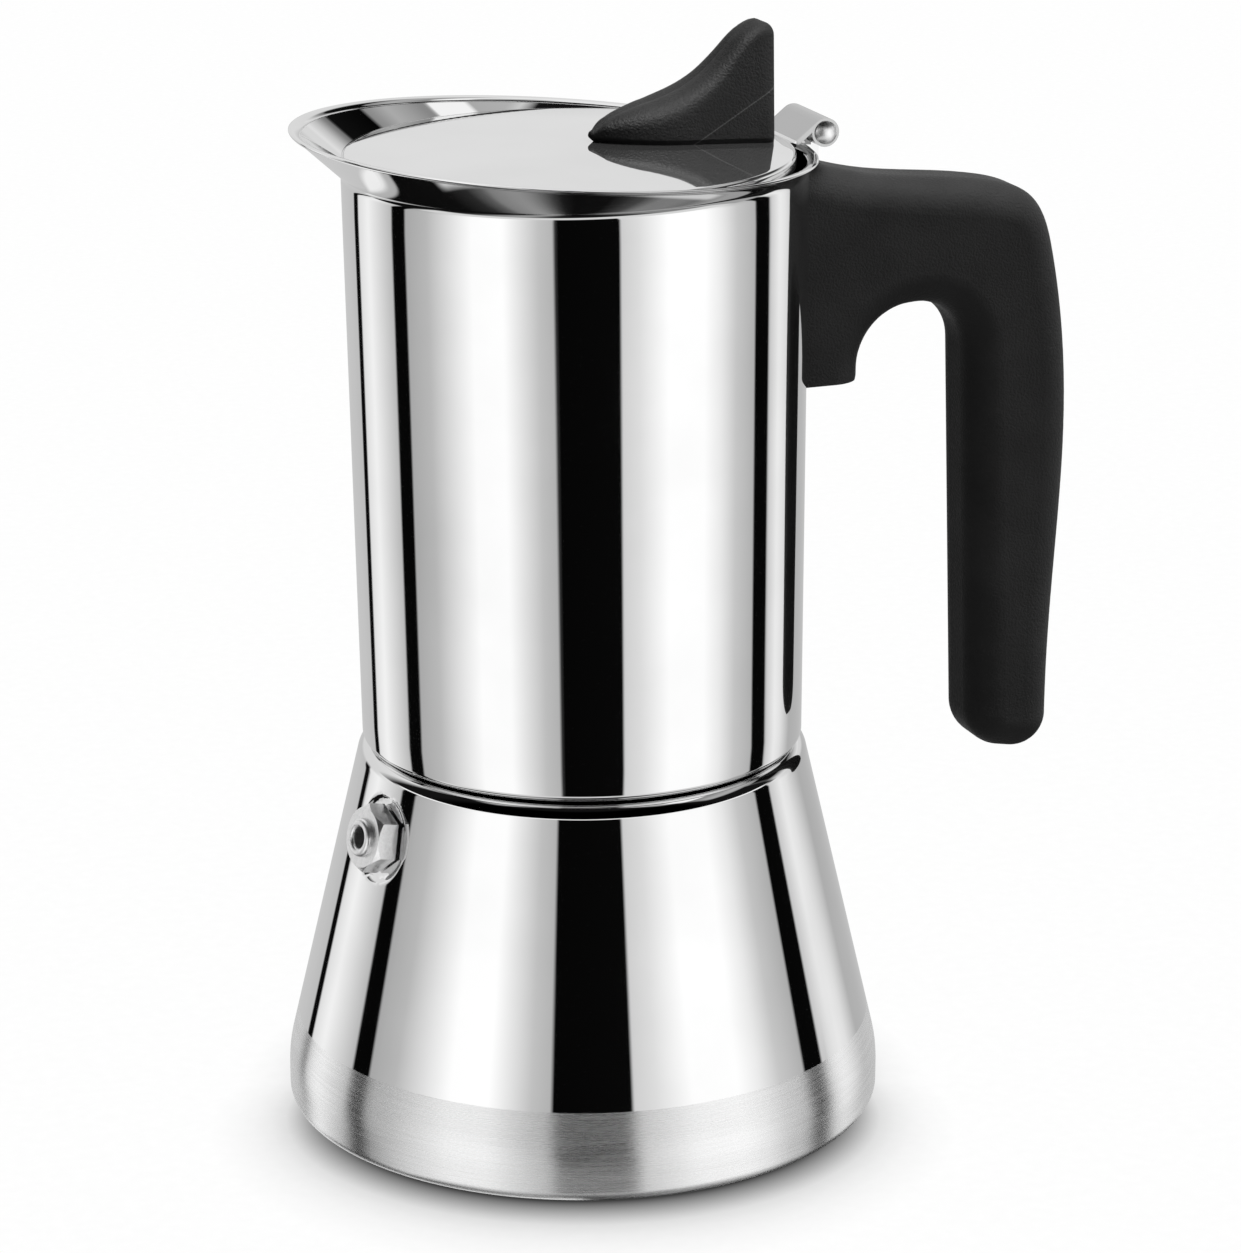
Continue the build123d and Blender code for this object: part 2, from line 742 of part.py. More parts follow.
# Handle bracket: tongue welded to the collector wall, tapped from below
root_bottom_z = flare_z - root_drop
arch_top_z = root_bottom_z + arch_lip + arch_in_r
tongue_root_x = collector_r - collector_edge_r
tongue_out_x = collector_r + tongue_out
tongue_bottom_z = arch_top_z + tongue_over_arch
handle_screw_x = collector_r + handle_screw_out
with BuildPart() as handle_bracket:
    with BuildSketch(Plane.XY.offset(tongue_bottom_z)):
        with Locations((tongue_root_x, 0)):
            Rectangle(tongue_out_x - tongue_root_x, 2 * tongue_half, align=(Align.MIN, Align.CENTER))
    extrude(amount=tongue_h)
    add(collector_outside.part, mode=Mode.SUBTRACT)
    with Locations(Plane(origin=(handle_screw_x, 0, tongue_bottom_z), z_dir=(0, 0, -1))):
        Hole(handle_screw_r + snug_gap, depth=handle_screw_grip + slide_gap)
handle_bracket.part.label = "handle_bracket"
export_step(handle_bracket.part, "parts/handle_bracket.step")

# Handle: root on the collector wall, saddle, bridge, arch and open-ended grip with a belly
root_out_x = collector_r + root_out
root_top_z = flare_z + root_top_rise
grip_in_x = root_out_x + arch_in_r + arch_out_r + arch_flat
grip_end_in_x = grip_in_x + grip_lean
grip_end_in_z = arch_top_z - grip_l
grip_end_out_x = grip_end_in_x + grip_end_w
grip_end_z = grip_end_in_z - grip_end_slant
with BuildPart() as handle:
    with BuildSketch(Plane.XZ) as handle_profile:
        with BuildLine():
            Polyline(
                (tongue_root_x, root_top_z),
                (tongue_root_x, root_bottom_z),
                (root_out_x - root_corner, root_bottom_z),
                (root_out_x, root_bottom_z + root_corner),
                (root_out_x, arch_top_z),
                (grip_in_x, arch_top_z + arch_slant),
                (grip_end_in_x, grip_end_in_z),
                (grip_end_out_x, grip_end_z),
                (grip_end_out_x, grip_end_z + grip_foot_h),
            )
            Spline(
                (grip_end_out_x, grip_end_z + grip_foot_h),
                (grip_in_x + grip_belly_w, flare_z - grip_belly_z),
                (grip_in_x + grip_neck_w, flare_z - grip_neck_z),
                (grip_in_x + grip_brow_w, flare_z - grip_brow_z),
                (grip_in_x + bridge_w, flare_z - bridge_z),
                (collector_r + saddle_out, flare_z - saddle_z),
                (tongue_root_x, root_top_z),
                tangents=((0, 1), (-1, root_slope)),
            )
        make_face()
        round_corner(handle_profile, (root_out_x, arch_top_z), arch_in_r)
        round_corner(handle_profile, (grip_in_x, arch_top_z + arch_slant), arch_out_r)
        round_corner(handle_profile, (grip_end_in_x, grip_end_in_z), grip_end_in_r)
        round_corner(handle_profile, (grip_end_out_x, grip_end_z), grip_end_out_r)
    extrude(amount=handle_half, both=True)
    side_faces = handle.faces().filter_by(Axis.Y)
    long_edges = side_faces.edges().filter_by(lambda e: e.center().X > root_out_x - slide_gap)
    fillet(long_edges, handle_edge_r)
    add(collector_outside.part, mode=Mode.SUBTRACT)
    # pocket for the tongue, the screw hole below it and room for the hinge bracket
    with BuildSketch(Plane.XY.offset(tongue_bottom_z)):
        with Locations((tongue_root_x, 0)):
            Rectangle(
                tongue_out_x + slide_gap - tongue_root_x,
                2 * tongue_half + 2 * slide_gap,
                align=(Align.MIN, Align.CENTER),
            )
    extrude(amount=tongue_h + slide_gap, mode=Mode.SUBTRACT)
    with Locations(Plane(origin=(handle_screw_x, 0, root_bottom_z), z_dir=(0, 0, -1))):
        CounterBoreHole(
            handle_screw_r + slide_gap,
            handle_head_r + slide_gap,
            handle_head_depth,
            depth=tongue_bottom_z - root_bottom_z,
        )
    with BuildSketch(Plane.XY.offset(bracket_foot_z - slide_gap)):
        with Locations((tongue_root_x, 0)):
            Rectangle(
                pin_x + bracket_out + slide_gap - tongue_root_x,
                2 * relief_half,
                align=(Align.MIN, Align.CENTER),
            )
    extrude(amount=root_top_z - bracket_foot_z + 2 * slide_gap, mode=Mode.SUBTRACT)
handle.part.label = "handle"
export_step(handle.part, "parts/handle.step")

# Handle screw: up through the root into the tongue
with BuildPart() as handle_screw:
    with BuildSketch(Plane.XY.offset(root_bottom_z + handle_head_depth)):
        with Locations((handle_screw_x, 0)):
            Circle(handle_head_r)
    extrude(amount=-handle_head_t)
    fillet(handle_screw.edges().sort_by(Axis.Z)[0], handle_head_edge_r)
    with BuildSketch(Plane.XY.offset(root_bottom_z + handle_head_depth)):
        with Locations((handle_screw_x, 0)):
            Circle(handle_screw_r)
    extrude(amount=tongue_bottom_z + handle_screw_grip - root_bottom_z - handle_head_depth)
handle_screw.part.label = "handle_screw"
export_step(handle_screw.part, "parts/handle_screw.step")

# Valve washer: under the hexagon, on the pressed flat
with BuildPart() as valve_washer:
    with BuildSketch(valve_plane):
        Circle(valve_washer_r)
        Circle(valve_shank_r + snug_gap, mode=Mode.SUBTRACT)
    extrude(amount=valve_washer_t)
valve_washer.part.label = "valve_washer"
export_step(valve_washer.part, "parts/valve_washer.step")

# Valve body: hexagon outside, shank through the wall, cell for the plunger and its inlet
hex_back = valve_washer_t
hex_front = hex_back + valve_hex_t
cell_back = valve_inlet_t - valve_reach
hex_corner_r = valve_hex / 2 / cos(pi / 6)
with BuildPart() as valve_body:
    with BuildSketch(valve_plane.offset(hex_back)):
        RegularPolygon(valve_hex / 2, 6, major_radius=False)
    extrude(amount=valve_hex_t)
    # turned chamfer on the hexagon's front corners
    with BuildSketch(Plane(origin=valve_plane.origin, x_dir=valve_axis, z_dir=valve_plane.y_dir)):
        with BuildLine():
            Polyline(
                (hex_back, 0),
                (hex_front, 0),
                (hex_front, valve_hex / 2 - snug_gap),
                (hex_front - (hex_corner_r - valve_hex / 2), hex_corner_r + snug_gap),
                (hex_back, hex_corner_r + snug_gap),
                close=True,
            )
        make_face()
    revolve(axis=Axis(valve_plane.origin, valve_axis), mode=Mode.INTERSECT)
    with BuildSketch(valve_plane.offset(-valve_reach)):
        Circle(valve_shank_r)
    extrude(amount=valve_reach + hex_back)
    with BuildSketch(valve_plane.offset(cell_back)):
        Circle(valve_cell_r)
    extrude(amount=hex_front - cell_back, mode=Mode.SUBTRACT)
    with BuildSketch(valve_plane.offset(-valve_reach)):
        Circle(valve_inlet_r)
    extrude(amount=valve_inlet_t, mode=Mode.SUBTRACT)
valve_body.part.label = "valve_body"
export_step(valve_body.part, "parts/valve_body.step")

# Valve nut: on the shank, against the pad inside the boiler
with BuildPart() as valve_nut:
    with BuildSketch(valve_plane.offset(-boiler_wall)):
        RegularPolygon(valve_nut_hex / 2, 6, major_radius=False)
        Circle(valve_shank_r + snug_gap, mode=Mode.SUBTRACT)
    extrude(amount=-valve_nut_t)
valve_nut.part.label = "valve_nut"
export_step(valve_nut.part, "parts/valve_nut.step")

# Valve retainer: pressed into the hexagon, with a rounded bead round the outlet
with BuildPart() as valve_retainer:
    with BuildSketch(valve_plane.offset(hex_front)):
        Circle(retainer_bead_r)
    extrude(amount=retainer_bead_t)
    with BuildSketch(valve_plane.offset(hex_front)):
        Circle(valve_cell_r - snug_gap)
    extrude(amount=-retainer_grip)
    with BuildSketch(valve_plane.offset(hex_front - retainer_grip)):
        Circle(retainer_hole_r)
    extrude(amount=retainer_grip + retainer_bead_t, mode=Mode.SUBTRACT)
    bead = valve_retainer.faces().filter_by(GeomType.PLANE).sort_by(Axis(valve_plane.origin, valve_axis))[-1]
    fillet(bead.edges(), retainer_bead_edge_r)
valve_retainer.part.label = "valve_retainer"
export_step(valve_retainer.part, "parts/valve_retainer.step")

# Valve plunger: head on the inlet's seat, stem inside the spring
with BuildPart() as valve_plunger:
    with BuildSketch(valve_plane.offset(cell_back)):
        Circle(valve_cell_r - slide_gap)
    extrude(amount=plunger_head_t)
    with BuildSketch(valve_plane.offset(cell_back + plunger_head_t)):
        Circle(plunger_stem_r)
    extrude(amount=plunger_stem_l)
valve_plunger.part.label = "valve_plunger"
export_step(valve_plunger.part, "parts/valve_plunger.step")

# Valve spring: between the plunger's head and the retainer
spring_back = cell_back + plunger_head_t + spring_wire_r
spring_front = hex_front - retainer_grip - spring_wire_r
spring_l = spring_front - spring_back
spring_foot = valve_plane.offset(spring_back).origin
with BuildPart() as valve_spring:
    with BuildLine():
        coil = Helix(spring_l / spring_turns, spring_l, spring_r, center=spring_foot, direction=valve_axis)
    with BuildSketch(Plane(origin=coil @ 0, z_dir=coil % 0)):
        Circle(spring_wire_r)
    sweep()
valve_spring.part.label = "valve_spring"
export_step(valve_spring.part, "parts/valve_spring.step")
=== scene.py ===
import bmesh
import bpy
from math import acos, asin, atan, atan2, ceil, cos, pi, radians, sin, sqrt, tan
from mathutils import Matrix, Vector


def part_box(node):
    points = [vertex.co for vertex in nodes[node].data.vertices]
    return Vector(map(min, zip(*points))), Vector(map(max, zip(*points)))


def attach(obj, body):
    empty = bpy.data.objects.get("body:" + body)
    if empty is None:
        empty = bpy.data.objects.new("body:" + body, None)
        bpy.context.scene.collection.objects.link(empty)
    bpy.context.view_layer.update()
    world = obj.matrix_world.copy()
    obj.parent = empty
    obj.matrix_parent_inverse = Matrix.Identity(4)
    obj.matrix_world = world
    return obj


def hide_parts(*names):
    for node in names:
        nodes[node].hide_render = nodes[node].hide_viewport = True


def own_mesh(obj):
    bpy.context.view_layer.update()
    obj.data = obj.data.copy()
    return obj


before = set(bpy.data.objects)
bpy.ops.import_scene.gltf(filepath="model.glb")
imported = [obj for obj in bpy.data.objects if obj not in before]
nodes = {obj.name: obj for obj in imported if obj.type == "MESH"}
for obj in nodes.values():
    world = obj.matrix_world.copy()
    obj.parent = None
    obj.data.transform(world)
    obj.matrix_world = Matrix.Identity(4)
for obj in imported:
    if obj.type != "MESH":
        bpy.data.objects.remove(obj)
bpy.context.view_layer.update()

MM = 0.001
scene = bpy.context.scene

# Camera: the photograph's viewpoint, with the focal length in pixels of a 1241 x 1253 frame
CAMERA_AT = Vector((-0.23924, -0.65731, 0.30385))
CAMERA_PITCH = radians(17.527)
CAMERA_YAW = radians(0.533)
FOCAL_PX = 4360.2
FRAME_PX = 1253
SENSOR = 36.0
CLIP_START = 0.01

level = Vector((-CAMERA_AT.x, -CAMERA_AT.y, 0)).normalized()
side = Vector((level.y, -level.x, 0))
ahead = level * cos(CAMERA_YAW) + side * sin(CAMERA_YAW)
right = Vector((ahead.y, -ahead.x, 0))
look = ahead * cos(CAMERA_PITCH) - Vector((0, 0, 1)) * sin(CAMERA_PITCH)
up = right.cross(look)
cam_data = bpy.data.cameras.new("camera")
cam_data.sensor_fit = "VERTICAL"
cam_data.sensor_height = SENSOR
cam_data.sensor_width = SENSOR
cam_data.lens = FOCAL_PX / FRAME_PX * SENSOR
cam_data.clip_start = CLIP_START
cam = bpy.data.objects.new("camera", cam_data)
scene.collection.objects.link(cam)
cam.matrix_world = Matrix(
    (
        (right.x, up.x, -look.x, CAMERA_AT.x),
        (right.y, up.y, -look.y, CAMERA_AT.y),
        (right.z, up.z, -look.z, CAMERA_AT.z),
        (0, 0, 0, 1),
    )
)
scene.camera = cam
scene.view_settings.view_transform = "Standard"
scene.view_settings.look = "None"


class Nodes:
    """Small helper to write node trees."""

    def __init__(self, tree):
        self.tree = tree
        tree.nodes.clear()

    def add(self, kind, inputs=None, **props):
        node = self.tree.nodes.new(kind)
        for key, value in props.items():
            setattr(node, key, value)
        for key, value in (inputs or {}).items():
            if isinstance(value, bpy.types.NodeSocket):
                self.tree.links.new(value, node.inputs[key])
            else:
                node.inputs[key].default_value = value
        return node

    def math(self, operation, a, b=0.0, c=0.0, clamp=False):
        node = self.add("ShaderNodeMath", {0: a, 1: b, 2: c}, operation=operation, use_clamp=clamp)
        return node.outputs[0]

    def vector(self, operation, a, b=(0, 0, 0)):
        node = self.add("ShaderNodeVectorMath", {0: a, 1: b}, operation=operation)
        return node.outputs["Value" if operation in ("DOT_PRODUCT", "LENGTH") else "Vector"]

    def mix(self, factor, a, b, blend_type="MIX"):
        node = self.add("ShaderNodeMix", {0: factor, 6: a, 7: b}, data_type="RGBA", blend_type=blend_type)
        return node.outputs[2]

    def noise(self, place, scale, detail, roughness=0.5):
        inputs = {"Vector": place, "Scale": scale, "Detail": detail, "Roughness": roughness}
        return self.add("ShaderNodeTexNoise", inputs).outputs["Fac"]

    def scaled(self, value, low, high, to_low, to_high):
        node = self.add("ShaderNodeMapRange", {0: value, 1: low, 2: high, 3: to_low, 4: to_high})
        return node.outputs[0]

    def bump(self, grain, depth, strength):
        inputs = {"Height": grain, "Distance": depth, "Strength": strength}
        return self.add("ShaderNodeBump", inputs).outputs[0]

    def place(self):
        return self.add("ShaderNodeTexCoord").outputs["Object"]

    def ramp(self, factor, stops):
        node = self.add("ShaderNodeValToRGB", {0: factor})
        band = node.color_ramp
        while len(band.elements) > 1:
            band.elements.remove(band.elements[-1])
        for i, (at, value) in enumerate(stops):
            element = band.elements[0] if i == 0 else band.elements.new(at)
            element.position = at
            color = value if isinstance(value, tuple) else (value, value, value)
            element.color = (*color, 1.0)
        return node.outputs["Color"]


# Studio seen in the polished steel: soft panels and black cards by bearing (degrees to the right of
# the camera, as seen from the pot) and by height above the horizon
PANELS = [
    (-180, 0.60),
    (-150, 0.62),
    (-141, 0.60),
    (-132, 0.90),
    (-123, 1.06),
    (-113, 0.84),
    (-102, 0.58),
    (-91, 0.48),
    (-78, 0.58),
    (-66, 0.86),
    (-52, 1.20),
    (-36, 1.22),
    (-28, 0.95),
    (-18, 0.64),
    (-9, 0.53),
    (21, 0.74),
    (31, 0.88),
    (46, 1.22),
    (66, 1.22),
    (76, 1.00),
    (86, 0.68),
    (99, 0.52),
    (110, 0.66),
    (120, 1.00),
    (126, 0.90),
    (138, 0.50),
    (150, 0.52),
    (180, 0.60),
]
CARDS = [(-139.8, -134.4), (-101.4, -92.2), (-9.8, 21.2), (99.8, 110.6)]
CARD_EDGE = 0.6
BLACK = 0.004
# the boiler mirrors a higher part of the studio, where the cards stand a little closer together
UPPER = [(-180, -180), (-96.7, -95.4), (5.8, 3.4), (105.2, 100.4), (180, 180)]
LOW_OR_HIGH = [(-90, 0.0), (-11, 0.0), (-8, 1.0), (90, 1.0)]
HEIGHTS = [(-90, 1.0), (12.5, 1.0), (13.5, 0.0), (90, 0.0)]
# a narrow bright strip over the panels in front, which draws a line along the rounded edges
STRIP_SIDE = [(-180, 0.0), (-112, 0.0), (-102, 1.0), (102, 1.0), (112, 0.0), (180, 0.0)]
STRIP_HEIGHT = [(-90, 0.0), (12.5, 0.0), (13.2, 1.0), (16.4, 1.0), (17.2, 0.0), (90, 0.0)]
STRIP = 1.2
OVERHEAD = [(-90, 0.008), (60, 0.008), (66, 0.5), (72, 0.7), (90, 0.8)]
OVERHEAD_SIDE = [(-180, 1.0), (-88, 1.0), (-70, 0.01), (62, 0.01), (76, 1.0), (180, 1.0)]
# below the panels: a pale skirt in front, and under it the stripes that the flared rim mirrors
LOW = [(-90, 1.0), (-31, 1.0), (-29, 0.0), (90, 0.0)]
UNDER = [
    (-180, 1.0),
    (-150, 0.95),
    (-141, 0.57),
    (-134, 0.54),
    (-131, 0.004),
    (-93, 0.006),
    (-75, 0.03),
    (-63, 0.14),
    (-57, 0.28),
    (-45, 0.35),
    (-39, 0.37),
    (-33, 0.33),
    (-27, 0.25),
    (-21, 0.15),
    (-15, 0.06),
    (-9, 0.015),
    (0, 0.005),
    (24, 0.007),
    (33, 0.03),
    (45, 0.08),
    (57, 0.26),
    (72, 0.27),
    (84, 0.21),
    (93, 0.33),
    (99, 0.44),
    (115, 0.40),
    (118, 0.004),
    (180, 0.01),
]
SKIRT_SIDE = [(-180, 0.0), (-95, 0.0), (-88, 1.0), (88, 1.0), (95, 0.0), (180, 0.0)]
SKIRT_HEIGHT = [(-90, 0.0), (-50, 0.0), (-46, 1.0), (90, 1.0)]
SKIRT = 0.8
# back right, above the panels: what the inside of the spout mirrors
SPOUT = [
    (13, 0.88),
    (18, 0.65),
    (22.5, 0.27),
    (24, 0.20),
    (24.8, 0.006),
    (38.4, 0.002),
    (39, 0.30),
    (41.5, 0.36),
    (46, 0.51),
    (50.5, 0.42),
    (55, 0.30),
    (56.8, 0.30),
    (57.5, 1.10),
    (66.5, 1.10),
    (67.2, 0.49),
    (79, 0.56),
    (84, 0.64),
    (90, 0.80),
]
SPOUT_SIDE = [(-180, 0.0), (112, 0.0), (118, 1.0), (163, 1.0), (168, 0.0), (180, 0.0)]
SPOUT_HEIGHT = [(-90, 0.0), (11, 0.0), (13, 1.0), (90, 1.0)]
SPOUT_HIGH_SIDE = [(-180, 0.0), (76, 0.0), (84, 1.0), (163, 1.0), (168, 0.0), (180, 0.0)]
SPOUT_HIGH = [(-90, 0.0), (40, 0.0), (42, 1.0), (90, 1.0)]
BACKDROP = [(-90, 0.05), (-30, 0.3), (0, 0.78), (20, 0.80), (34, 0.85), (60, 1.0), (90, 0.9)]
BACK_SIDE = [(-180, 1.0), (-128, 1.0), (-112, 0.0), (112, 0.0), (128, 1.0), (180, 1.0)]
BACK_HEIGHT = [(-90, 0.0), (0, 0.0), (6, 1.0), (90, 1.0)]
# light on dull surfaces, and the plain paper that the camera sees behind the pot
FILL = 0.3
PAPER = 1.0
WHITE = (1, 1, 1, 1)

world = bpy.data.worlds.new("studio")
scene.world = world
world.use_nodes = True
w = Nodes(world.node_tree)
sky = w.add("ShaderNodeTexCoord").outputs["Generated"]
sky_z = w.add("ShaderNodeSeparateXYZ", {0: sky}).outputs["Z"]
to_right = w.vector("DOT_PRODUCT", sky, side)
to_camera = w.vector("DOT_PRODUCT", sky, -level)
bearing = w.math("MULTIPLY_ADD", w.math("ARCTAN2", to_right, to_camera), 0.5 / pi, 0.5)
height = w.math("MULTIPLY_ADD", w.math("ARCSINE", sky_z), 1 / pi, 0.5)


def by_bearing(stops):
    return w.ramp(bearing, [(a / 360 + 0.5, v) for a, v in stops])


def by_height(stops):
    return w.ramp(height, [(a / 180 + 0.5, v) for a, v in stops])


def patch(sides, heights):
    """Part of the studio between bearings and between heights, as a factor."""
    return w.math("MULTIPLY", by_bearing(sides), by_height(heights))


def upper(angle):
    """Bearing in the upper studio of what stands at a bearing in the lower one."""
    for (a, a_up), (b, b_up) in zip(UPPER, UPPER[1:]):
        if a <= angle <= b:
            return a_up + (b_up - a_up) * (angle - a) / (b - a)


def panels(place):
    """The lit panels with the black cards in front of them."""
    light = by_bearing([(place(a), v) for a, v in PANELS])
    cards = [(-180, 1.0)]
    for start, stop in CARDS:
        cards += [(place(start) - CARD_EDGE, 1.0), (place(start), BLACK)]
        cards += [(place(stop), BLACK), (place(stop) + CARD_EDGE, 1.0)]
    return w.math("MULTIPLY", light, by_bearing(cards + [(180, 1.0)]))


walls = w.mix(by_height(LOW_OR_HIGH), panels(lambda a: a), panels(upper))
ceiling = w.math("MULTIPLY", by_height(OVERHEAD), by_bearing(OVERHEAD_SIDE))
ring = w.mix(by_height(HEIGHTS), ceiling, walls)
ring = w.mix(patch(STRIP_SIDE, STRIP_HEIGHT), ring, (STRIP, STRIP, STRIP, 1))
backed = w.mix(patch(BACK_SIDE, BACK_HEIGHT), ring, by_height(BACKDROP))
spout = w.math("MAXIMUM", patch(SPOUT_SIDE, SPOUT_HEIGHT), patch(SPOUT_HIGH_SIDE, SPOUT_HIGH))
above = w.mix(spout, backed, by_height(SPOUT))
below = w.mix(patch(SKIRT_SIDE, SKIRT_HEIGHT), by_bearing(UNDER), (SKIRT, SKIRT, SKIRT, 1))
studio = w.mix(by_height(LOW), above, below)
path = w.add("ShaderNodeLightPath").outputs
fill = w.add("ShaderNodeBackground", {"Color": WHITE, "Strength": FILL}).outputs[0]
paper = w.add("ShaderNodeBackground", {"Color": WHITE, "Strength": PAPER}).outputs[0]
mirror = w.add("ShaderNodeBackground", {"Color": studio, "Strength": 1.0}).outputs[0]
seen = w.add("ShaderNodeMixShader", {0: path["Is Camera Ray"], 1: fill, 2: paper}).outputs[0]
full = w.add("ShaderNodeMixShader", {0: path["Is Glossy Ray"], 1: seen, 2: mirror}).outputs[0]
w.add("ShaderNodeOutputWorld", {"Surface": full})
world.cycles.sampling_method = "NONE"


LAMP_WIDTH = radians(30)


def soft_lamp(name, toward, energy):
    """Broad far light from a direction."""
    data = bpy.data.lights.new(name, "SUN")
    data.energy = energy
    data.angle = LAMP_WIDTH
    lamp = bpy.data.objects.new(name, data)
    lamp.rotation_euler = toward.to_track_quat("Z", "Y").to_euler()
    scene.collection.objects.link(lamp)
    return lamp


# Soft light from above for the dull surfaces, which the steel doesn't mirror
SUN_FROM, SUN = Vector((0.38, -0.08, 0.92)), 12.0
sun = soft_lamp("top_light", SUN_FROM, SUN)
sun.visible_glossy = False


def new_material(name):
    material = bpy.data.materials.new(name)
    material.use_nodes = True
    return material, Nodes(material.node_tree)


def finish_material(n, shader):
    n.add("ShaderNodeOutputMaterial", {"Surface": shader.outputs[0]})


HAZE_SCALE, HAZE_DETAIL, HAZE_SPAN = 45.0, 4.0, (0.3, 0.75)
POLISH_ROUGH = (0.018, 0.045)
POLISH_TONE = [(0.35, 0.79), (0.65, 0.83)]
# satin of the lid's hinge tab
TAB_ROUGH = 0.16
TAB_TONE = (0.5, 0.5, 0.5, 1)


def polished(name, metal=1.0, dull_from=None):
    """Mirror-polished steel with faint buffing marks; metal below 1 lays a thin haze over it, and it is
    plain satin beyond dull_from along X."""
    material, n = new_material(name)
    place = n.place()
    haze = n.noise(place, HAZE_SCALE, HAZE_DETAIL)
    rough = n.scaled(haze, *HAZE_SPAN, *POLISH_ROUGH)
    tone = n.ramp(haze, POLISH_TONE)
    if dull_from:
        x = n.add("ShaderNodeSeparateXYZ", {0: place}).outputs["X"]
        beyond = n.math("GREATER_THAN", x, dull_from)
        rough = n.math("MULTIPLY_ADD", beyond, TAB_ROUGH, rough)
        tone = n.mix(beyond, tone, TAB_TONE)
    shader = n.add("ShaderNodeBsdfPrincipled", {"Base Color": tone, "Metallic": metal, "Roughness": rough})
    finish_material(n, shader)
    return material


# span of the grain's noise, its fineness, and how far tone and roughness vary along it
GRAIN_LOW, GRAIN_HIGH = 0.3, 0.7
GRAIN_DETAIL, GRAIN_ROUGH, GRAIN_BUMP = 3.0, 0.7, 0.5
TONE_DOWN, TONE_UP, ROUGH_DOWN, ROUGH_UP = 0.86, 1.1, 0.85, 1.2
QUARTER_TURN = 0.25


def brushed(name, tone, rough, stretch, depth, streak=0.0, metal=1.0):
    """Steel with a fine grain; streak spreads its gloss across the grain, metal below 1 dulls it."""
    material, n = new_material(name)
    lines = n.add("ShaderNodeMapping", {"Vector": n.place(), "Scale": stretch})
    grain = n.noise(lines.outputs[0], 1.0, GRAIN_DETAIL, GRAIN_ROUGH)
    shader = n.add(
        "ShaderNodeBsdfPrincipled",
        {
            "Base Color": n.ramp(grain, [(GRAIN_LOW, tone * TONE_DOWN), (GRAIN_HIGH, tone * TONE_UP)]),
            "Metallic": metal,
            "Roughness": n.scaled(grain, GRAIN_LOW, GRAIN_HIGH, rough * ROUGH_DOWN, rough * ROUGH_UP),
            "Normal": n.bump(grain, depth, GRAIN_BUMP),
        },
    )
    if streak > 0:
        shader.inputs["Anisotropic"].default_value = streak
        shader.inputs["Anisotropic Rotation"].default_value = QUARTER_TURN
        grain_way = n.add("ShaderNodeTangent", direction_type="RADIAL", axis="Z")
        n.tree.links.new(grain_way.outputs[0], shader.inputs["Tangent"])
    finish_material(n, shader)
    return material


PLASTIC_GLOSS = 0.018
PLASTIC_ROUGH = (0.38, 0.52)
PLASTIC_TONE = [(GRAIN_LOW, 0.014), (GRAIN_HIGH, 0.018)]
CLOUD_SCALE, CLOUD_DETAIL = 90.0, 3.0
MOULD_SCALE, MOULD_DETAIL, MOULD_DEPTH, MOULD_BUMP = 2600.0, 2.0, 0.0002, 0.7
SEAM_HALF = 0.00014
# colour of the painted highlight along the knob's mould line
SEAM_HIGHLIGHT = (0.06, 0.06, 0.06, 1)


def plastic(name, seam=None):
    """Matte black plastic with a fine moulded grain; seam is a mould line, by a point and its direction
    in XZ, drawn as a thin lighter line: a painted highlight along its ridge."""
    material, n = new_material(name)
    place = n.place()
    grain = n.noise(place, MOULD_SCALE, MOULD_DETAIL)
    color = n.ramp(n.noise(place, CLOUD_SCALE, CLOUD_DETAIL), PLASTIC_TONE)
    if seam:
        (x, z), (run, rise) = seam
        off = n.vector("SUBTRACT", place, (x, 0, z))
        away = n.math("ABSOLUTE", n.vector("DOT_PRODUCT", off, (-rise, 0, run)))
        # painted highlight: the mould line is drawn lighter, for the light its ridge would catch
        line = n.math("SUBTRACT", 1.0, n.math("DIVIDE", away, SEAM_HALF), clamp=True)
        color = n.mix(line, color, SEAM_HIGHLIGHT)
    shader = n.add(
        "ShaderNodeBsdfPrincipled",
        {
            "Base Color": color,
            "Roughness": n.scaled(grain, GRAIN_LOW, GRAIN_HIGH, *PLASTIC_ROUGH),
            "Specular IOR Level": PLASTIC_GLOSS,
            "Normal": n.bump(grain, MOULD_DEPTH, MOULD_BUMP),
        },
    )
    finish_material(n, shader)
    return material


SILICONE_SCALE, SILICONE_ROUGH = 300.0, 0.55
SILICONE_TONE = [(GRAIN_LOW, (0.72, 0.71, 0.67)), (GRAIN_HIGH, (0.80, 0.79, 0.75))]


def silicone():
    """Off-white silicone with slight clouding."""
    material, n = new_material("silicone")
    color = n.ramp(n.noise(n.place(), SILICONE_SCALE, CLOUD_DETAIL), SILICONE_TONE)
    shader = n.add("ShaderNodeBsdfPrincipled", {"Base Color": color, "Roughness": SILICONE_ROUGH})
    finish_material(n, shader)
    return material


# where the lid's tab begins, the knob's mould line, and the grain's stretch and depth
TAB_FROM = 0.0351
KNOB_SEAM = ((0.0165, 0.1648), (0.875, 0.484))
ALONG, TURNED, EVEN = (70.0, 70.0, 1800.0), (60.0, 60.0, 4200.0), (900.0, 900.0, 900.0)
GRAIN, POLISH = 0.00002, 0.000001
STEEL = polished("polished_steel")
LID = polished("lid_steel", metal=0.985, dull_from=TAB_FROM)
BELT = brushed("brushed_belt", tone=0.9, rough=0.26, stretch=TURNED, depth=GRAIN, streak=0.95, metal=0.97)
SATIN = brushed("satin_steel", tone=0.66, rough=0.24, stretch=ALONG, depth=GRAIN)
VALVE = brushed("valve_metal", tone=0.92, rough=0.34, stretch=EVEN, depth=GRAIN)
PIN = brushed("pin_steel", tone=0.96, rough=0.34, stretch=EVEN, depth=POLISH)
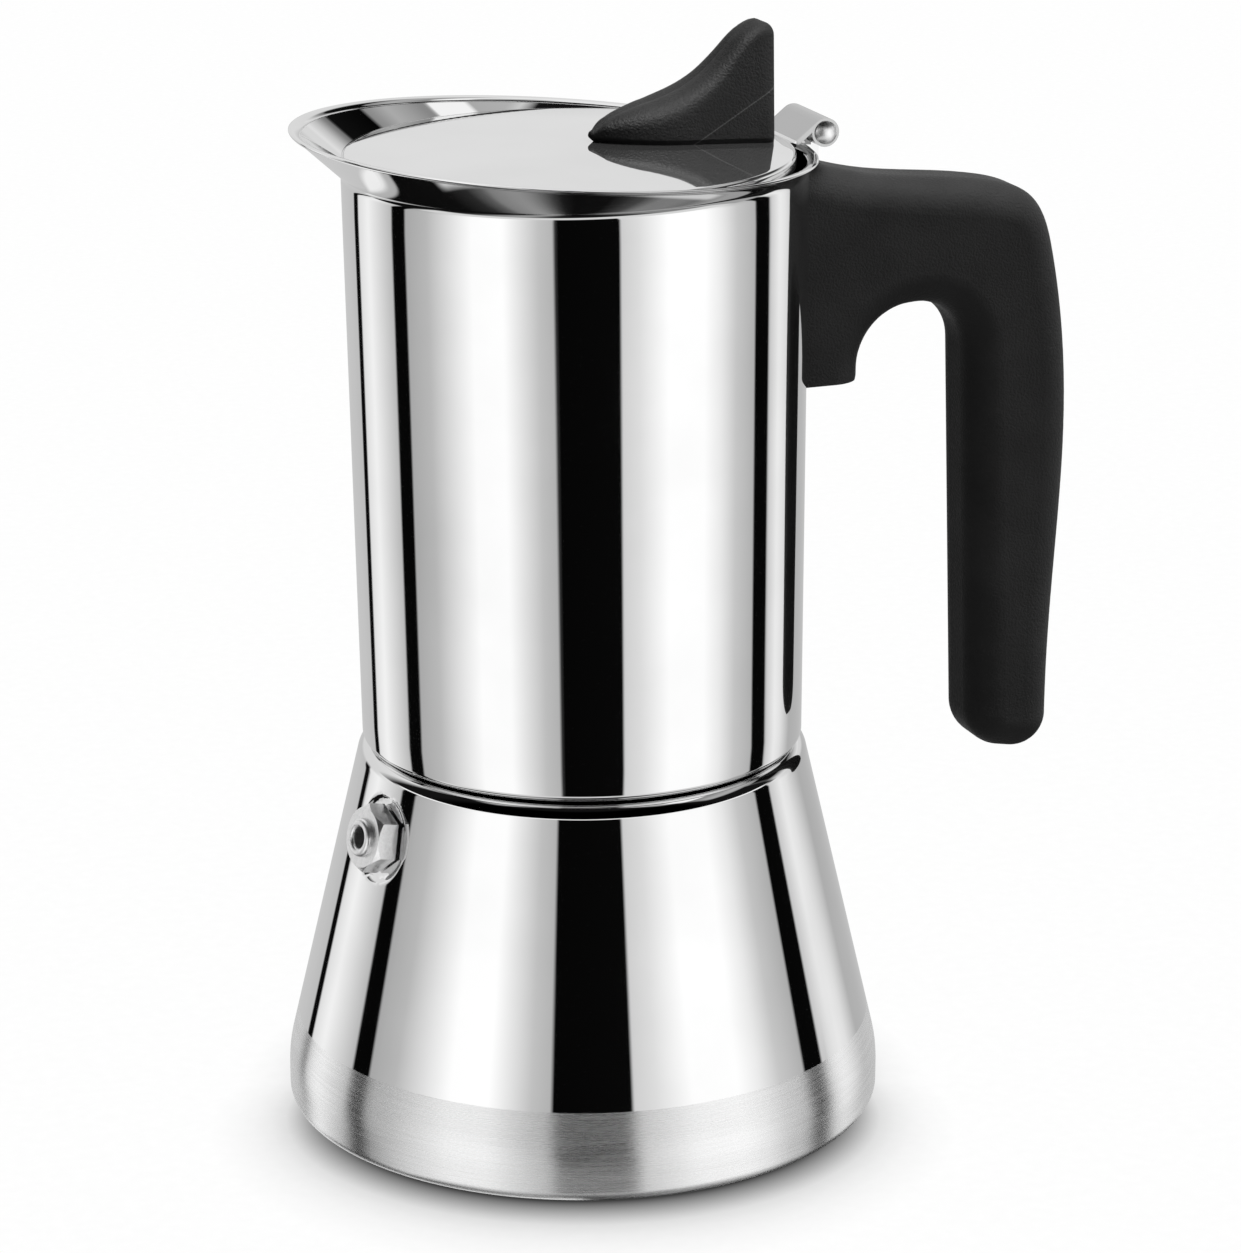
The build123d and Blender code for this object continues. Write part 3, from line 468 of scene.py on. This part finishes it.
# near-black steel: the spring's own dark finish, and painted shade on the washer and the plunger
DARK_AND_SHADE = brushed("dark_steel_and_painted_shade", tone=0.03, rough=0.45, stretch=EVEN, depth=GRAIN)
SCREW = brushed("screw_steel", tone=0.55, rough=0.25, stretch=EVEN, depth=GRAIN)
PLASTIC = plastic("black_plastic")
KNOB = plastic("knob_plastic", seam=KNOB_SEAM)
SILICONE = silicone()


# angles over which an edge stays sharp: skins, CAD pieces, turned edges and round forms
SKIN_ANGLE, CAD_ANGLE, EDGE_ANGLE, ROUND_ANGLE = 35, 32, 40, 50
JOIN = 1e-6


def link(name, mesh, materials):
    piece = bpy.data.objects.new(name, mesh)
    scene.collection.objects.link(piece)
    for material in materials:
        mesh.materials.append(material)
    return piece


def smooth(mesh, angle):
    mesh.polygons.foreach_set("use_smooth", [True] * len(mesh.polygons))
    mesh.set_sharp_from_angle(angle=radians(angle))


def flatten(piece):
    """Even shading on the flats, with the sharp edges kept."""
    flats = piece.modifiers.new("flats", "WEIGHTED_NORMAL")
    flats.keep_sharp = True


def circle(count):
    return [2 * pi * i / count for i in range(count)]


def rings(name, rows, closed=False):
    """Mesh through rows of points, each row a closed ring; closed joins the last row to the first."""
    count = len(rows[0])
    points = [p for row in rows for p in row]
    faces = []
    last = len(rows) if closed else len(rows) - 1
    for i in range(last):
        a = i * count
        b = (i + 1) % len(rows) * count
        for j in range(count):
            k = (j + 1) % count
            faces.append((a + j, a + k, b + k, b + j))
    mesh = bpy.data.meshes.new(name)
    mesh.from_pydata(points, [], faces)
    mesh.validate()
    smooth(mesh, SKIN_ANGLE)
    return mesh


def sealed(mesh, angle):
    """Joins the points that meet, caps open ends and turns the faces outward."""
    work = bmesh.new()
    work.from_mesh(mesh)
    bmesh.ops.remove_doubles(work, verts=work.verts, dist=JOIN)
    bmesh.ops.dissolve_degenerate(work, edges=work.edges, dist=JOIN)
    bmesh.ops.holes_fill(work, edges=[e for e in work.edges if e.is_boundary])
    bmesh.ops.recalc_face_normals(work, faces=work.faces)
    work.to_mesh(mesh)
    work.free()
    smooth(mesh, angle)


def rounded(corners, step=4.0, cuts=None):
    """Polyline through (point, radius) corners, each rounded by an arc of even steps in degrees or of a
    set count."""
    line = []
    for i, (p, r) in enumerate(corners):
        p = Vector(p)
        if r <= 0 or i in (0, len(corners) - 1):
            line.append(p)
            continue
        a = (Vector(corners[i - 1][0]) - p).normalized()
        b = (Vector(corners[i + 1][0]) - p).normalized()
        half = acos(max(-1.0, min(1.0, a.dot(b)))) / 2
        centre = p + (a + b).normalized() * (r / sin(half))
        start = p + a * (r / tan(half)) - centre
        end = p + b * (r / tan(half)) - centre
        turn = pi - 2 * half
        steps = cuts or max(2, int(turn / radians(step)) + 1)
        for c in range(steps + 1):
            f = c / steps
            line.append(centre + (start * sin((1 - f) * turn) + end * sin(f * turn)) / sin(turn))
    return line


def divided(line, length):
    """The same polyline with no step longer than the length."""
    finer = [line[0]]
    for a, b in zip(line, line[1:]):
        cuts = max(1, ceil((b - a).length / length))
        finer += [a.lerp(b, c / cuts) for c in range(1, cuts + 1)]
    return finer


# Boiler shell: revolved, with the pressed flat round the valve
BASE_R, CONE_TOP_R, BOILER_TOP, BELT_Z = 50.7, 37.45, 64.3, 8.15
BASE_EDGE_R, BELT_RUN, SHOULDER_R, FLOOR_EDGE_R = 2.0, 2.6, 3.0, 1.0
WALL = 1.0
SEAT_R, PLATE_T, FOOT_LIFT = 44.4, 2.5, 0.3
MOUTH_R = 33.0
GRAIN_TOP, GRAIN_SLACK = 15.6, 0.01
cone = atan((BASE_R - CONE_TOP_R) / (BOILER_TOP - BELT_Z))
belt_r = BELT_RUN / tan(cone / 2)
across = WALL / cos(cone)
inner_top = BOILER_TOP - WALL
inner_r = CONE_TOP_R + WALL * tan(cone) - across
inner_belt = BELT_Z - (across - WALL) / tan(cone)
VALVE_TURN, VALVE_Z, VALVE_SINK = radians(193), 53.2, 0.7
FLAT_R, FLAT_SOFT = 7.0, 0.7
FLAT_FAR = 3 * FLAT_R
SEAT_EDGE_R, MOUTH_EDGE_R, CENTRE_R = 0.15, 0.2, 0.01
OUTSIDE_STEP, INSIDE_STEP = 0.45, 1.5
FINE_TURN, COARSE_TURN, FINE_REACH = radians(0.4), radians(1.5), radians(13)
out = Vector((cos(VALVE_TURN), sin(VALVE_TURN), 0))
valve_axis = out * cos(cone) + Vector((0, 0, sin(cone)))
cone_r = BASE_R - (VALVE_Z - BELT_Z) * tan(cone)
valve_seat = out * cone_r + Vector((0, 0, VALVE_Z)) - valve_axis * VALVE_SINK


def pressed(p, depth):
    """A point of the cone moved onto the flat, with a soft edge."""
    d = p - valve_seat
    rise = d.dot(valve_axis)
    away = (d - valve_axis * rise).length
    if d.length > FLAT_FAR or rise < -depth:
        return p
    f = min(1.0, max(0.0, (FLAT_R + FLAT_SOFT / 2 - away) / FLAT_SOFT))
    f = f * f * (3 - 2 * f)
    return p - valve_axis * (rise + depth) * f


# angles round the pot, close together near the valve
turns = [0.0]
while turns[-1] < 2 * pi - JOIN:
    from_valve = abs((turns[-1] - VALVE_TURN + pi) % (2 * pi) - pi)
    turns.append(turns[-1] + (FINE_TURN if from_valve < FINE_REACH else COARSE_TURN))
turns.pop()
outside = rounded(
    [
        ((SEAT_R, PLATE_T, 0), 0),
        ((SEAT_R, FOOT_LIFT, 0), SEAT_EDGE_R),
        ((BASE_R, FOOT_LIFT, 0), BASE_EDGE_R),
        ((BASE_R, BELT_Z, 0), belt_r),
        ((CONE_TOP_R, BOILER_TOP, 0), SHOULDER_R),
        ((MOUTH_R, BOILER_TOP, 0), MOUTH_EDGE_R),
        ((MOUTH_R, inner_top, 0), 0),
    ]
)
inside = rounded(
    [
        ((MOUTH_R, inner_top, 0), 0),
        ((inner_r, inner_top, 0), SHOULDER_R - WALL),
        ((BASE_R - WALL, inner_belt, 0), belt_r - WALL),
        ((BASE_R - WALL, PLATE_T + WALL, 0), FLOOR_EDGE_R),
        ((CENTRE_R, PLATE_T + WALL, 0), 0),
    ]
)


def with_height(line, z):
    """The polyline with a point added where it crosses the height."""
    crossed = [line[0]]
    for a, b in zip(line, line[1:]):
        if (a.y - z) * (b.y - z) < 0:
            crossed.append(a.lerp(b, (z - a.y) / (b.y - a.y)))
        crossed.append(b)
    return crossed


outside = with_height(divided(outside, OUTSIDE_STEP), GRAIN_TOP)
inside = divided(inside, INSIDE_STEP)
bottom = [Vector((CENTRE_R, PLATE_T, 0))]
rows = []
for line, depth in ((bottom, None), (outside, 0.0), (inside[1:], WALL)):
    for q in line:
        row = [Vector((q.x * cos(t), q.x * sin(t), q.y)) for t in turns]
        if depth is not None:
            row = [pressed(p, depth) for p in row]
        rows.append([p * MM for p in row])
mesh = rings("boiler_shell_skin", rows)
boiler = link("boiler_shell_skin", mesh, [STEEL, BELT, SATIN])
# the belt is brushed up to the grain's top, and the inside is satin
first_inside = len(bottom) + len(outside) - 1
belt_top = (GRAIN_TOP + GRAIN_SLACK) * MM
for face in mesh.polygons:
    if face.vertices[0] // len(turns) >= first_inside:
        face.material_index = 2
    elif max(mesh.vertices[v].co.z for v in face.vertices) <= belt_top:
        face.material_index = 1
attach(boiler, "boiler")
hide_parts("boiler_shell")

# Collector: an oblique drawn cup between tilted circles, with a rounded foot and a flared rim
SHEET = 0.8
COLLECTOR_Z = 64.7
COLLECTOR_R = 37.1
FOOT_R, FOOT_IN_R = 1.2, 1.6
FLARE_X, FLARE_Z, FLARE_TILT, FLARE_R = -0.95, 161.8, 0.02, 38.15
FLARE_BLEND_R = 1.8
RIM_X, RIM_Z, RIM_TILT, RIM_R = -4.6, 165.75, -0.0645, 43.0
DRAIN_R = 9.0
# the rim's bead, from its outer foot over the top to its inner foot
BEAD_R, BEAD_FROM, BEAD_STEP = 0.85, 140, 14
BEAD = [radians(a) for a in range(BEAD_FROM, -BEAD_FROM - 1, -BEAD_STEP)]


def circle_point(x, z, tilt, r, t):
    """Point of a circle that is tilted along X."""
    slope = Vector((1, 0, tilt)).normalized()
    return Vector((x, 0, z + tilt * x)) + slope * (r * cos(t)) + Vector((0, r * sin(t), 0))


def flare_point(r, t):
    return circle_point(FLARE_X, FLARE_Z, FLARE_TILT, r, t)


def rim_point(r, t):
    return circle_point(RIM_X, RIM_Z, RIM_TILT, r, t)


def collector_line(t):
    """Section of the wall at one bearing: outside from the drain up, round the rim and down inside."""
    flat = Vector((cos(t), sin(t), 0))
    foot = flat * COLLECTOR_R + Vector((0, 0, COLLECTOR_Z))
    flare = flare_point(FLARE_R, t)
    rim = rim_point(RIM_R, t)
    foot_in = flat * (COLLECTOR_R - SHEET) + Vector((0, 0, COLLECTOR_Z + SHEET))
    flare_in = flare_point(FLARE_R - SHEET, t)
    rim_in = rim_point(RIM_R - SHEET, t)
    drain = flat * DRAIN_R + Vector((0, 0, COLLECTOR_Z))
    drain_in = flat * DRAIN_R + Vector((0, 0, COLLECTOR_Z + SHEET))
    upward = ((rim - flare) + (rim_in - flare_in)).normalized()
    outward = (rim - rim_in).normalized()
    centre = (rim + rim_in) / 2 - upward * BEAD_R
    bead = [(centre + (upward * cos(a) + outward * sin(a)) * BEAD_R, 0) for a in BEAD]
    return [
        (drain, 0),
        (foot, FOOT_R),
        (flare, FLARE_BLEND_R),
        *bead,
        (flare_in, FLARE_BLEND_R + SHEET),
        (foot_in, FOOT_IN_R),
        (drain_in, 0),
    ]


ROUND = 320
ARC = 10
LONG_WALL, WALL_STEPS = 40, 24
columns = []
for t in circle(ROUND):
    line = rounded(collector_line(t), cuts=ARC)
    # the long straight walls are divided for even shading
    column = [line[0]]
    for a, b in zip(line, line[1:]):
        cuts = WALL_STEPS if (b - a).length > LONG_WALL else 1
        column += [a.lerp(b, c / cuts) for c in range(1, cuts + 1)]
    columns.append([p * MM for p in column])
mesh = rings("collector_skin", list(zip(*columns)), closed=True)
collector = link("collector_skin", mesh, [STEEL, SATIN])
# the cup is satin inside, below the flare
inner_from = 1 + (ARC + 1) + WALL_STEPS + (ARC + 1) + len(BEAD) + (ARC + 1)
for face in mesh.polygons:
    if min(v // ROUND for v in face.vertices) >= inner_from:
        face.material_index = 1
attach(collector, "collector")
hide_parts("collector_body")

# Threads: a female one in the neck and a male one on the ring under the collector
PITCH = 3.0
THREAD_CUT = 0.5
THREAD_FADE = 0.9
THREAD_STEP = 0.2
THREAD_ROUND = 180


def ridge(z, t, low, high):
    """Height of a right-handed thread's rounded ridge, from 0 to 1, faded out at both ends."""
    f = z / PITCH - t / (2 * pi)
    ends = min(1.0, max(0.0, (z - low) / THREAD_FADE), max(0.0, (high - z) / THREAD_FADE))
    return (0.5 + 0.5 * cos(2 * pi * f)) * ends


def threaded(name, section, wall, outward, body, node):
    """Ring with a plain section, whose wall between two heights carries a thread cut to one side."""
    r, low, high = wall
    steps = int((high - low) / THREAD_STEP)
    heights = [low + (high - low) * i / steps for i in range(steps + 1)]
    if outward:
        heights.reverse()
    around = circle(THREAD_ROUND)
    cut = THREAD_CUT if outward else -THREAD_CUT
    rows = [[(q, z, t) for t in around] for q, z in section]
    rows += [[(r + cut * ridge(z, t, low, high), z, t) for t in around] for z in heights]
    rows = [[Vector((q * cos(t), q * sin(t), z)) * MM for q, z, t in row] for row in rows]
    piece = link(name, rings(name, rows, closed=True), [SATIN])
    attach(piece, body)
    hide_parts(node)


NECK_OUT_R, LEDGE_R, LEDGE_Z, LEDGE_T = 34.2, 30.2, 57.0, 1.0
RING_R, RING_IN_R, RING_STEP_R, RING_Z, RING_STEP_Z = 32.7, 31.2, 29.0, 58.2, 61.4
threaded(
    "boiler_neck_skin",
    [
        (LEDGE_R, LEDGE_Z),
        (LEDGE_R, LEDGE_Z - LEDGE_T),
        (NECK_OUT_R, LEDGE_Z - LEDGE_T),
        (NECK_OUT_R, inner_top),
    ],
    (MOUTH_R, LEDGE_Z, inner_top),
    True,
    "boiler",
    "boiler_neck",
)
threaded(
    "thread_ring_skin",
    [
        (RING_STEP_R, COLLECTOR_Z),
        (RING_STEP_R, RING_STEP_Z),
        (RING_IN_R, RING_STEP_Z),
        (RING_IN_R, RING_Z),
    ],
    (RING_R, RING_Z, COLLECTOR_Z),
    False,
    "collector",
    "thread_ring",
)


# cross recess of a screw: half width of an arm, reach of the arms and depth; its floor is smaller
KNOB_RECESS, HANDLE_RECESS = (0.0005, 0.0018, 0.0009), (0.0006, 0.0020, 0.0014)
RECESS_TAPER = 0.55


def recessed(name, recess, body):
    """The screw with a tapered cross recess in its underside."""
    arm, reach, depth = recess
    node = nodes[name]
    low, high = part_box(name)
    mid = Vector(((low[0] + high[0]) / 2, (low[1] + high[1]) / 2, low[2]))
    corners = []
    for quarter in range(4):
        for long, short in ((reach, -arm), (reach, arm), (arm, arm)):
            q = Vector((long, short, 0))
            q.rotate(Matrix.Rotation(quarter * pi / 2, 3, "Z"))
            corners.append(q)
    count = len(corners)
    points = [mid + q - Vector((0, 0, depth)) for q in corners]
    points += [mid + q * RECESS_TAPER + Vector((0, 0, depth)) for q in corners]
    faces = [tuple(reversed(range(count))), tuple(range(count, 2 * count))]
    faces += [(i, (i + 1) % count, (i + 1) % count + count, i + count) for i in range(count)]
    tool_mesh = bpy.data.meshes.new(name + "_recess")
    tool_mesh.from_pydata(points, [], faces)
    tool = link(name + "_recess", tool_mesh, [])
    piece = link(name + "_skin", node.data.copy(), [])
    piece.matrix_world = node.matrix_world
    cut = piece.modifiers.new("recess", "BOOLEAN")
    cut.object = tool
    cut.operation = "DIFFERENCE"
    cut.solver = "EXACT"
    bpy.context.view_layer.update()
    evaluated = piece.evaluated_get(bpy.context.evaluated_depsgraph_get())
    mesh = bpy.data.meshes.new_from_object(evaluated)
    piece.modifiers.clear()
    piece.data = mesh
    bpy.data.objects.remove(tool)
    mesh.materials.clear()
    mesh.materials.append(SCREW)
    smooth(mesh, CAD_ANGLE)
    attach(piece, body)
    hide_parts(name)


recessed("knob_screw", KNOB_RECESS, "lid")
recessed("handle_screw", HANDLE_RECESS, "collector")

# Lid knob: a fin with a rounded nose, soft shoulders, a shallow thumb rest and a domed tip
LID_X, LID_R, LID_Z, LID_DOME = -2.0, 37.0, 164.3, 1.2
KNOB_BACK, KNOB_FULL, KNOB_L, KNOB_HALF = 31.8, 14.8, 30.5, 7.0
KNOB_TAPER = tan(radians(10.0))
KNOB_CORNER = 1.8
KNOB_LEAN = 0.045
NOSE_POWER = 0.8
# height of the spine and of the shoulders over it, by the distance from the back
SPINE = [
    (0, 19.7),
    (1.5, 19.7),
    (3, 19.0),
    (5, 17.4),
    (8, 14.2),
    (10, 12.2),
    (12, 10.6),
    (14.5, 9.1),
    (16.8, 8.1),
    (20, 7.1),
    (22, 6.6),
    (27.8, 4.4),
    (30.5, 1.9),
]
SHOULDER = [
    (0, -0.9),
    (3, -0.6),
    (5, 0.1),
    (8, 1.0),
    (12, 1.7),
    (16.8, 1.7),
    (20, 1.3),
    (25, 0.5),
    (30.5, 0.0),
]
SHOULDER_LEAST = 2.7
SHOULDER_ROUND = [(0, 2.2), (3, 2.8), (8, 4.2), (20, 4.4), (27, 2.2), (30.5, 0.7)]
# how far the foot is drawn in under the nose, and where the side stands out fully
FOOT_IN = [(0, 0.15), (17, 0.15), (24, 0.4), (28, 0.7), (30.5, 0.9)]
FOOT_H = 0.8
FOOT_ROUND = 0.5
SPINE_ENDS = (1.5, 27.0)
SCREW_X, SCREW_HOLE_R, SCREW_HOLE_H = 20.0, 1.65, 7.2
NOSE_STEPS, SIDE_STEPS, TURN_STEPS, BACK_STEPS = 30, 16, 8, 6


def along(stops, x):
    """Smooth curve through the stops."""
    x = min(max(x, stops[0][0]), stops[-1][0])
    k = max(i for i in range(len(stops) - 1) if stops[i][0] <= x)

    def slope(i):
        a, b = stops[max(i - 1, 0)], stops[min(i + 1, len(stops) - 1)]
        return (b[1] - a[1]) / (b[0] - a[0])

    (a, p), (b, q) = stops[k], stops[k + 1]
    f = (x - a) / (b - a)
    m, n = slope(k) * (b - a), slope(k + 1) * (b - a)
    return p + f * (m + f * (3 * (q - p) - 2 * m - n + f * (2 * (p - q) + m + n)))


def dome(x, y):
    """Height of the lid's top."""
    return LID_Z + LID_DOME * (1 - ((x - LID_X) ** 2 + y**2) / LID_R**2)


full_x, nose_x = KNOB_BACK - KNOB_FULL, KNOB_BACK - KNOB_L
# outline of its foot: the near side from the nose to the back, and the same mirrored
plan = []
for i in range(1, NOSE_STEPS + 1):
    x = nose_x + (full_x - nose_x) * (i / NOSE_STEPS) ** 2
    u = (full_x - x) / (full_x - nose_x)
    plan.append(Vector((x, -KNOB_HALF * (1 - u * u) ** NOSE_POWER, 0)))
corner_x, corner_y = KNOB_BACK - KNOB_CORNER, KNOB_HALF - KNOB_CORNER
for i in range(1, SIDE_STEPS):
    plan.append(Vector((full_x + (corner_x - full_x) * i / SIDE_STEPS, -KNOB_HALF, 0)))
for i in range(TURN_STEPS + 1):
    a = pi / 2 * i / TURN_STEPS
    plan.append(Vector((corner_x + KNOB_CORNER * sin(a), -corner_y - KNOB_CORNER * cos(a), 0)))
for i in range(1, BACK_STEPS):
    plan.append(Vector((KNOB_BACK, -corner_y * (1 - i / BACK_STEPS), 0)))
plan = (
    [Vector((nose_x, 0, 0))]
    + plan
    + [Vector((KNOB_BACK, 0, 0))]
    + [Vector((q.x, -q.y, 0)) for q in reversed(plan)]
)
screw_axis = Vector((SCREW_X, 0, 0))
columns = []
for q in plan:
    from_back = KNOB_BACK - q.x
    spine_at = min(max(from_back, SPINE_ENDS[0]), SPINE_ENDS[1])
    spine = Vector((KNOB_BACK - spine_at, 0, LID_Z + along(SPINE, spine_at)))
    inward = (Vector((KNOB_BACK - spine_at, 0, 0)) - q).normalized()
    foot = q + inward * along(FOOT_IN, from_back)
    foot.z = dome(foot.x, foot.y)
    stand = q.copy()
    stand.z = dome(q.x, q.y) + FOOT_H
    rise = along(SPINE, from_back) + along(SHOULDER, from_back)
    lean = KNOB_LEAN * rise * max(0.0, 1 - from_back / KNOB_CORNER)
    taper = 1 - rise * KNOB_TAPER / KNOB_HALF
    shoulder = Vector((q.x + lean, q.y * taper, LID_Z + max(rise, SHOULDER_LEAST)))
    spoke = (q - screw_axis).normalized() * SCREW_HOLE_R + screw_axis
    hole = [
        Vector((SCREW_X, 0, LID_Z + SCREW_HOLE_H)),
        Vector((spoke.x, spoke.y, LID_Z + SCREW_HOLE_H)),
        Vector((spoke.x, spoke.y, dome(spoke.x, spoke.y))),
    ]
    line = rounded(
        [(foot, 0), (stand, FOOT_ROUND), (shoulder, along(SHOULDER_ROUND, from_back)), (spine, 0)],
        cuts=ARC,
    )
    columns.append([p * MM for p in hole + line])
mesh = rings("lid_knob_skin", list(zip(*columns)))
sealed(mesh, ROUND_ANGLE)
knob = link("lid_knob_skin", mesh, [KNOB])
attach(knob, "lid")
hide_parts("lid_knob")

# Lid edge: a fine skin over the small radius of the edge, which mirrors without facets
EDGE_R, EDGE_OUT, EDGE_IN, SKIRT_END = 0.7, 0.015, 0.4, -1.98
EDGE_CUTS, EDGE_ROUND = 12, 288
dome_r = (LID_R**2 + LID_DOME**2) / (2 * LID_DOME)
dome_z = LID_DOME - dome_r
edge_x = LID_R - EDGE_R
edge_z = dome_z + sqrt((dome_r - EDGE_R) ** 2 - edge_x**2)
edge_turn = atan2(edge_z - dome_z, edge_x)
arc = [edge_turn * (1 - i / EDGE_CUTS) for i in range(EDGE_CUTS + 1)]
skin_r = EDGE_R + EDGE_OUT
profile = [(edge_x + skin_r * cos(a), edge_z + skin_r * sin(a)) for a in arc]
profile += [
    (LID_R + EDGE_OUT, SKIRT_END),
    (LID_R - EDGE_IN, SKIRT_END),
    (LID_R - EDGE_IN, -EDGE_R),
    (edge_x - EDGE_IN, -EDGE_IN),
    (edge_x - EDGE_IN, dome_z + sqrt((dome_r + EDGE_OUT) ** 2 - (edge_x - EDGE_IN) ** 2)),
]
around = circle(EDGE_ROUND)
rows = [[Vector((LID_X + r * cos(t), r * sin(t), LID_Z + z)) * MM for t in around] for r, z in profile]
mesh = rings("lid_edge", rows, closed=True)
sealed(mesh, EDGE_ANGLE)
edge = link("lid_edge", mesh, [LID])
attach(edge, "lid")

# Hinge pin: broad domed heads over the ends of the barrel
PIN_X, PIN_Z, PIN_R = 40.3, 165.6, 0.95
HEAD_IN, HEAD_R, HEAD_EDGE, HEAD_DOME = 7.05, 1.9, 0.2, 0.65
HEAD_CUTS, PIN_ROUND = 10, 48
head_r = (HEAD_R**2 + HEAD_DOME**2) / (2 * HEAD_DOME)
head_turn = asin(HEAD_R / head_r)
head = [(PIN_R, HEAD_IN), (HEAD_R, HEAD_IN)]
for i in range(HEAD_CUTS + 1):
    a = head_turn * (1 - i / HEAD_CUTS)
    head.append((head_r * sin(a), HEAD_IN + HEAD_EDGE + HEAD_DOME - head_r * (1 - cos(a))))
profile = [(r, -y) for r, y in reversed(head)] + head
around = circle(PIN_ROUND)
rows = [[Vector((PIN_X + r * cos(t), y, PIN_Z + r * sin(t))) * MM for t in around] for r, y in profile]
mesh = rings("hinge_pin_skin", rows)
sealed(mesh, EDGE_ANGLE)
pin = link("hinge_pin_skin", mesh, [PIN])
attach(pin, "collector")
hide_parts("hinge_pin")

# Valve body: the hexagon turned to where it stops when it is tight
HEX_TURN = radians(9)
node = nodes["valve_body"]
hub = Matrix.Translation(valve_seat * MM)
mesh = node.data.copy()
mesh.transform(hub @ Matrix.Rotation(HEX_TURN, 4, valve_axis) @ hub.inverted() @ node.matrix_world)
mesh.materials.clear()
smooth(mesh, CAD_ANGLE)
body = link("valve_body_skin", mesh, [VALVE])
flatten(body)
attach(body, "boiler")
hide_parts("valve_body")

# Valve spring: a coil of wire along the valve's axis, built at one length; the real one shortens towards
# the retainer as the plunger lifts
SPRING_BACK, SPRING_L, SPRING_R, WIRE_R = -2.55, 4.9, 1.9, 0.25
SPRING_TURNS, TURN_CUTS, WIRE_ROUND = 4, 32, 10
spring_up = Vector((0, 0, cos(cone))) - out * sin(cone)
spring_side = valve_axis.cross(spring_up)
spring_climb = valve_axis * (SPRING_L / SPRING_TURNS / (2 * pi))
rows = []
for i in range(SPRING_TURNS * TURN_CUTS + 1):
    t = 2 * pi * i / TURN_CUTS
    spoke = spring_up * cos(t) + spring_side * sin(t)
    onward = (spring_side * cos(t) - spring_up * sin(t)) * SPRING_R + spring_climb
    beside = onward.normalized().cross(spoke)
    middle = valve_seat + valve_axis * SPRING_BACK + spring_climb * t + spoke * SPRING_R
    wire = [spoke * cos(a) + beside * sin(a) for a in circle(WIRE_ROUND)]
    rows.append([(middle + q * WIRE_R) * MM for q in wire])
mesh = rings("valve_spring_skin", rows)
sealed(mesh, ROUND_ANGLE)
spring = link("valve_spring_skin", mesh, [DARK_AND_SHADE])
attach(spring, "boiler")
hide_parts("valve_spring")
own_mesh(spring)

# CAD pieces that are shown keep their meshes and get materials, smooth shading and even flats
finishes = {
    "lid": LID,
    "hinge_bracket": STEEL,
    "base_plate": BELT,
    "funnel": SATIN,
    "funnel_stem": SATIN,
    "funnel_sieve": SATIN,
    "filter_plate": SATIN,
    "column": SATIN,
    "column_cap": SATIN,
    "handle_bracket": SATIN,
    "gasket": SILICONE,
    "handle": PLASTIC,
    # painted shade: washer and plunger are near-black for the shaded gap round the hexagon and the valve's
    # dark hole
    "valve_washer": DARK_AND_SHADE,
    "valve_nut": VALVE,
    "valve_retainer": VALVE,
    "valve_plunger": DARK_AND_SHADE,
}
for name, material in finishes.items():
    node = nodes[name]
    node.data.materials.clear()
    node.data.materials.append(material)
    smooth(node.data, CAD_ANGLE)
    flatten(node)

# Sheen on the plastic, from a broad light overhead that lights nothing else
SHEEN_FROM, SHEEN = Vector((-0.2, -0.3, 0.93)), 26.0
sheen = soft_lamp("sheen", SHEEN_FROM, SHEEN)
dull = bpy.data.collections.new("plastic_pieces")
dull.objects.link(knob)
dull.objects.link(nodes["handle"])
sheen.light_linking.receiver_collection = dull
sheen.visible_diffuse = False

# Floor: pale paper that glows, with a painted soft contact shadow, which the steel doesn't mirror
FLOOR = 4.0
# reach of the shadow at the sides and in front, how far it draws in behind, and its start under the foot
SHADOW_SIDE, SHADOW_FRONT, SHADOW_IN, SHADOW_EDGE = 0.018, 0.026, 0.0075, 0.0017
SHADOW_TURN = 2.5
PAPER_SCALE, PAPER_DETAIL = 400.0, 2.0
PAPER_TONE = [(0.3, 0.985), (0.7, 1.0)]
SHADOW = [
    (0.0, 0.05),
    (0.07, 0.20),
    (0.14, 0.335),
    (0.21, 0.475),
    (0.28, 0.62),
    (0.35, 0.75),
    (0.49, 0.855),
    (0.63, 0.92),
    (0.80, 0.965),
    (1.0, 1.0),
]
corners = [(-FLOOR, -FLOOR, 0), (FLOOR, -FLOOR, 0), (FLOOR, FLOOR, 0), (-FLOOR, FLOOR, 0)]
floor_mesh = bpy.data.meshes.new("floor")
floor_mesh.from_pydata(corners, [], [(0, 1, 2, 3)])
material, n = new_material("floor_paper")
place = n.place()
tone = n.ramp(n.noise(place, PAPER_SCALE, PAPER_DETAIL), PAPER_TONE)
out_from = n.vector("MULTIPLY", place, (1, 1, 0))
reach = n.vector("LENGTH", out_from)
forward = n.math("MAXIMUM", n.vector("DOT_PRODUCT", out_from, -level), 0.0)
facing = n.math("DIVIDE", forward, n.math("MAXIMUM", reach, MM))
length = n.math("MULTIPLY_ADD", facing, SHADOW_FRONT - SHADOW_SIDE, SHADOW_SIDE)
inward = n.math("POWER", n.math("SUBTRACT", 1.0, facing), SHADOW_TURN)
past_foot = n.math("SUBTRACT", reach, BASE_R * MM - SHADOW_EDGE)
beyond = n.math("MULTIPLY_ADD", inward, SHADOW_IN, past_foot)
# painted contact shadow: the floor's glow is darkened by the distance past the foot, further in front than
# at the sides
shade = n.ramp(n.math("DIVIDE", beyond, length), SHADOW)
paper_with_painted_shadow = n.mix(1.0, tone, shade, "MULTIPLY")
finish_material(n, n.add("ShaderNodeEmission", {"Color": paper_with_painted_shadow, "Strength": 1.0}))
floor = link("floor", floor_mesh, [material])
floor.visible_glossy = False
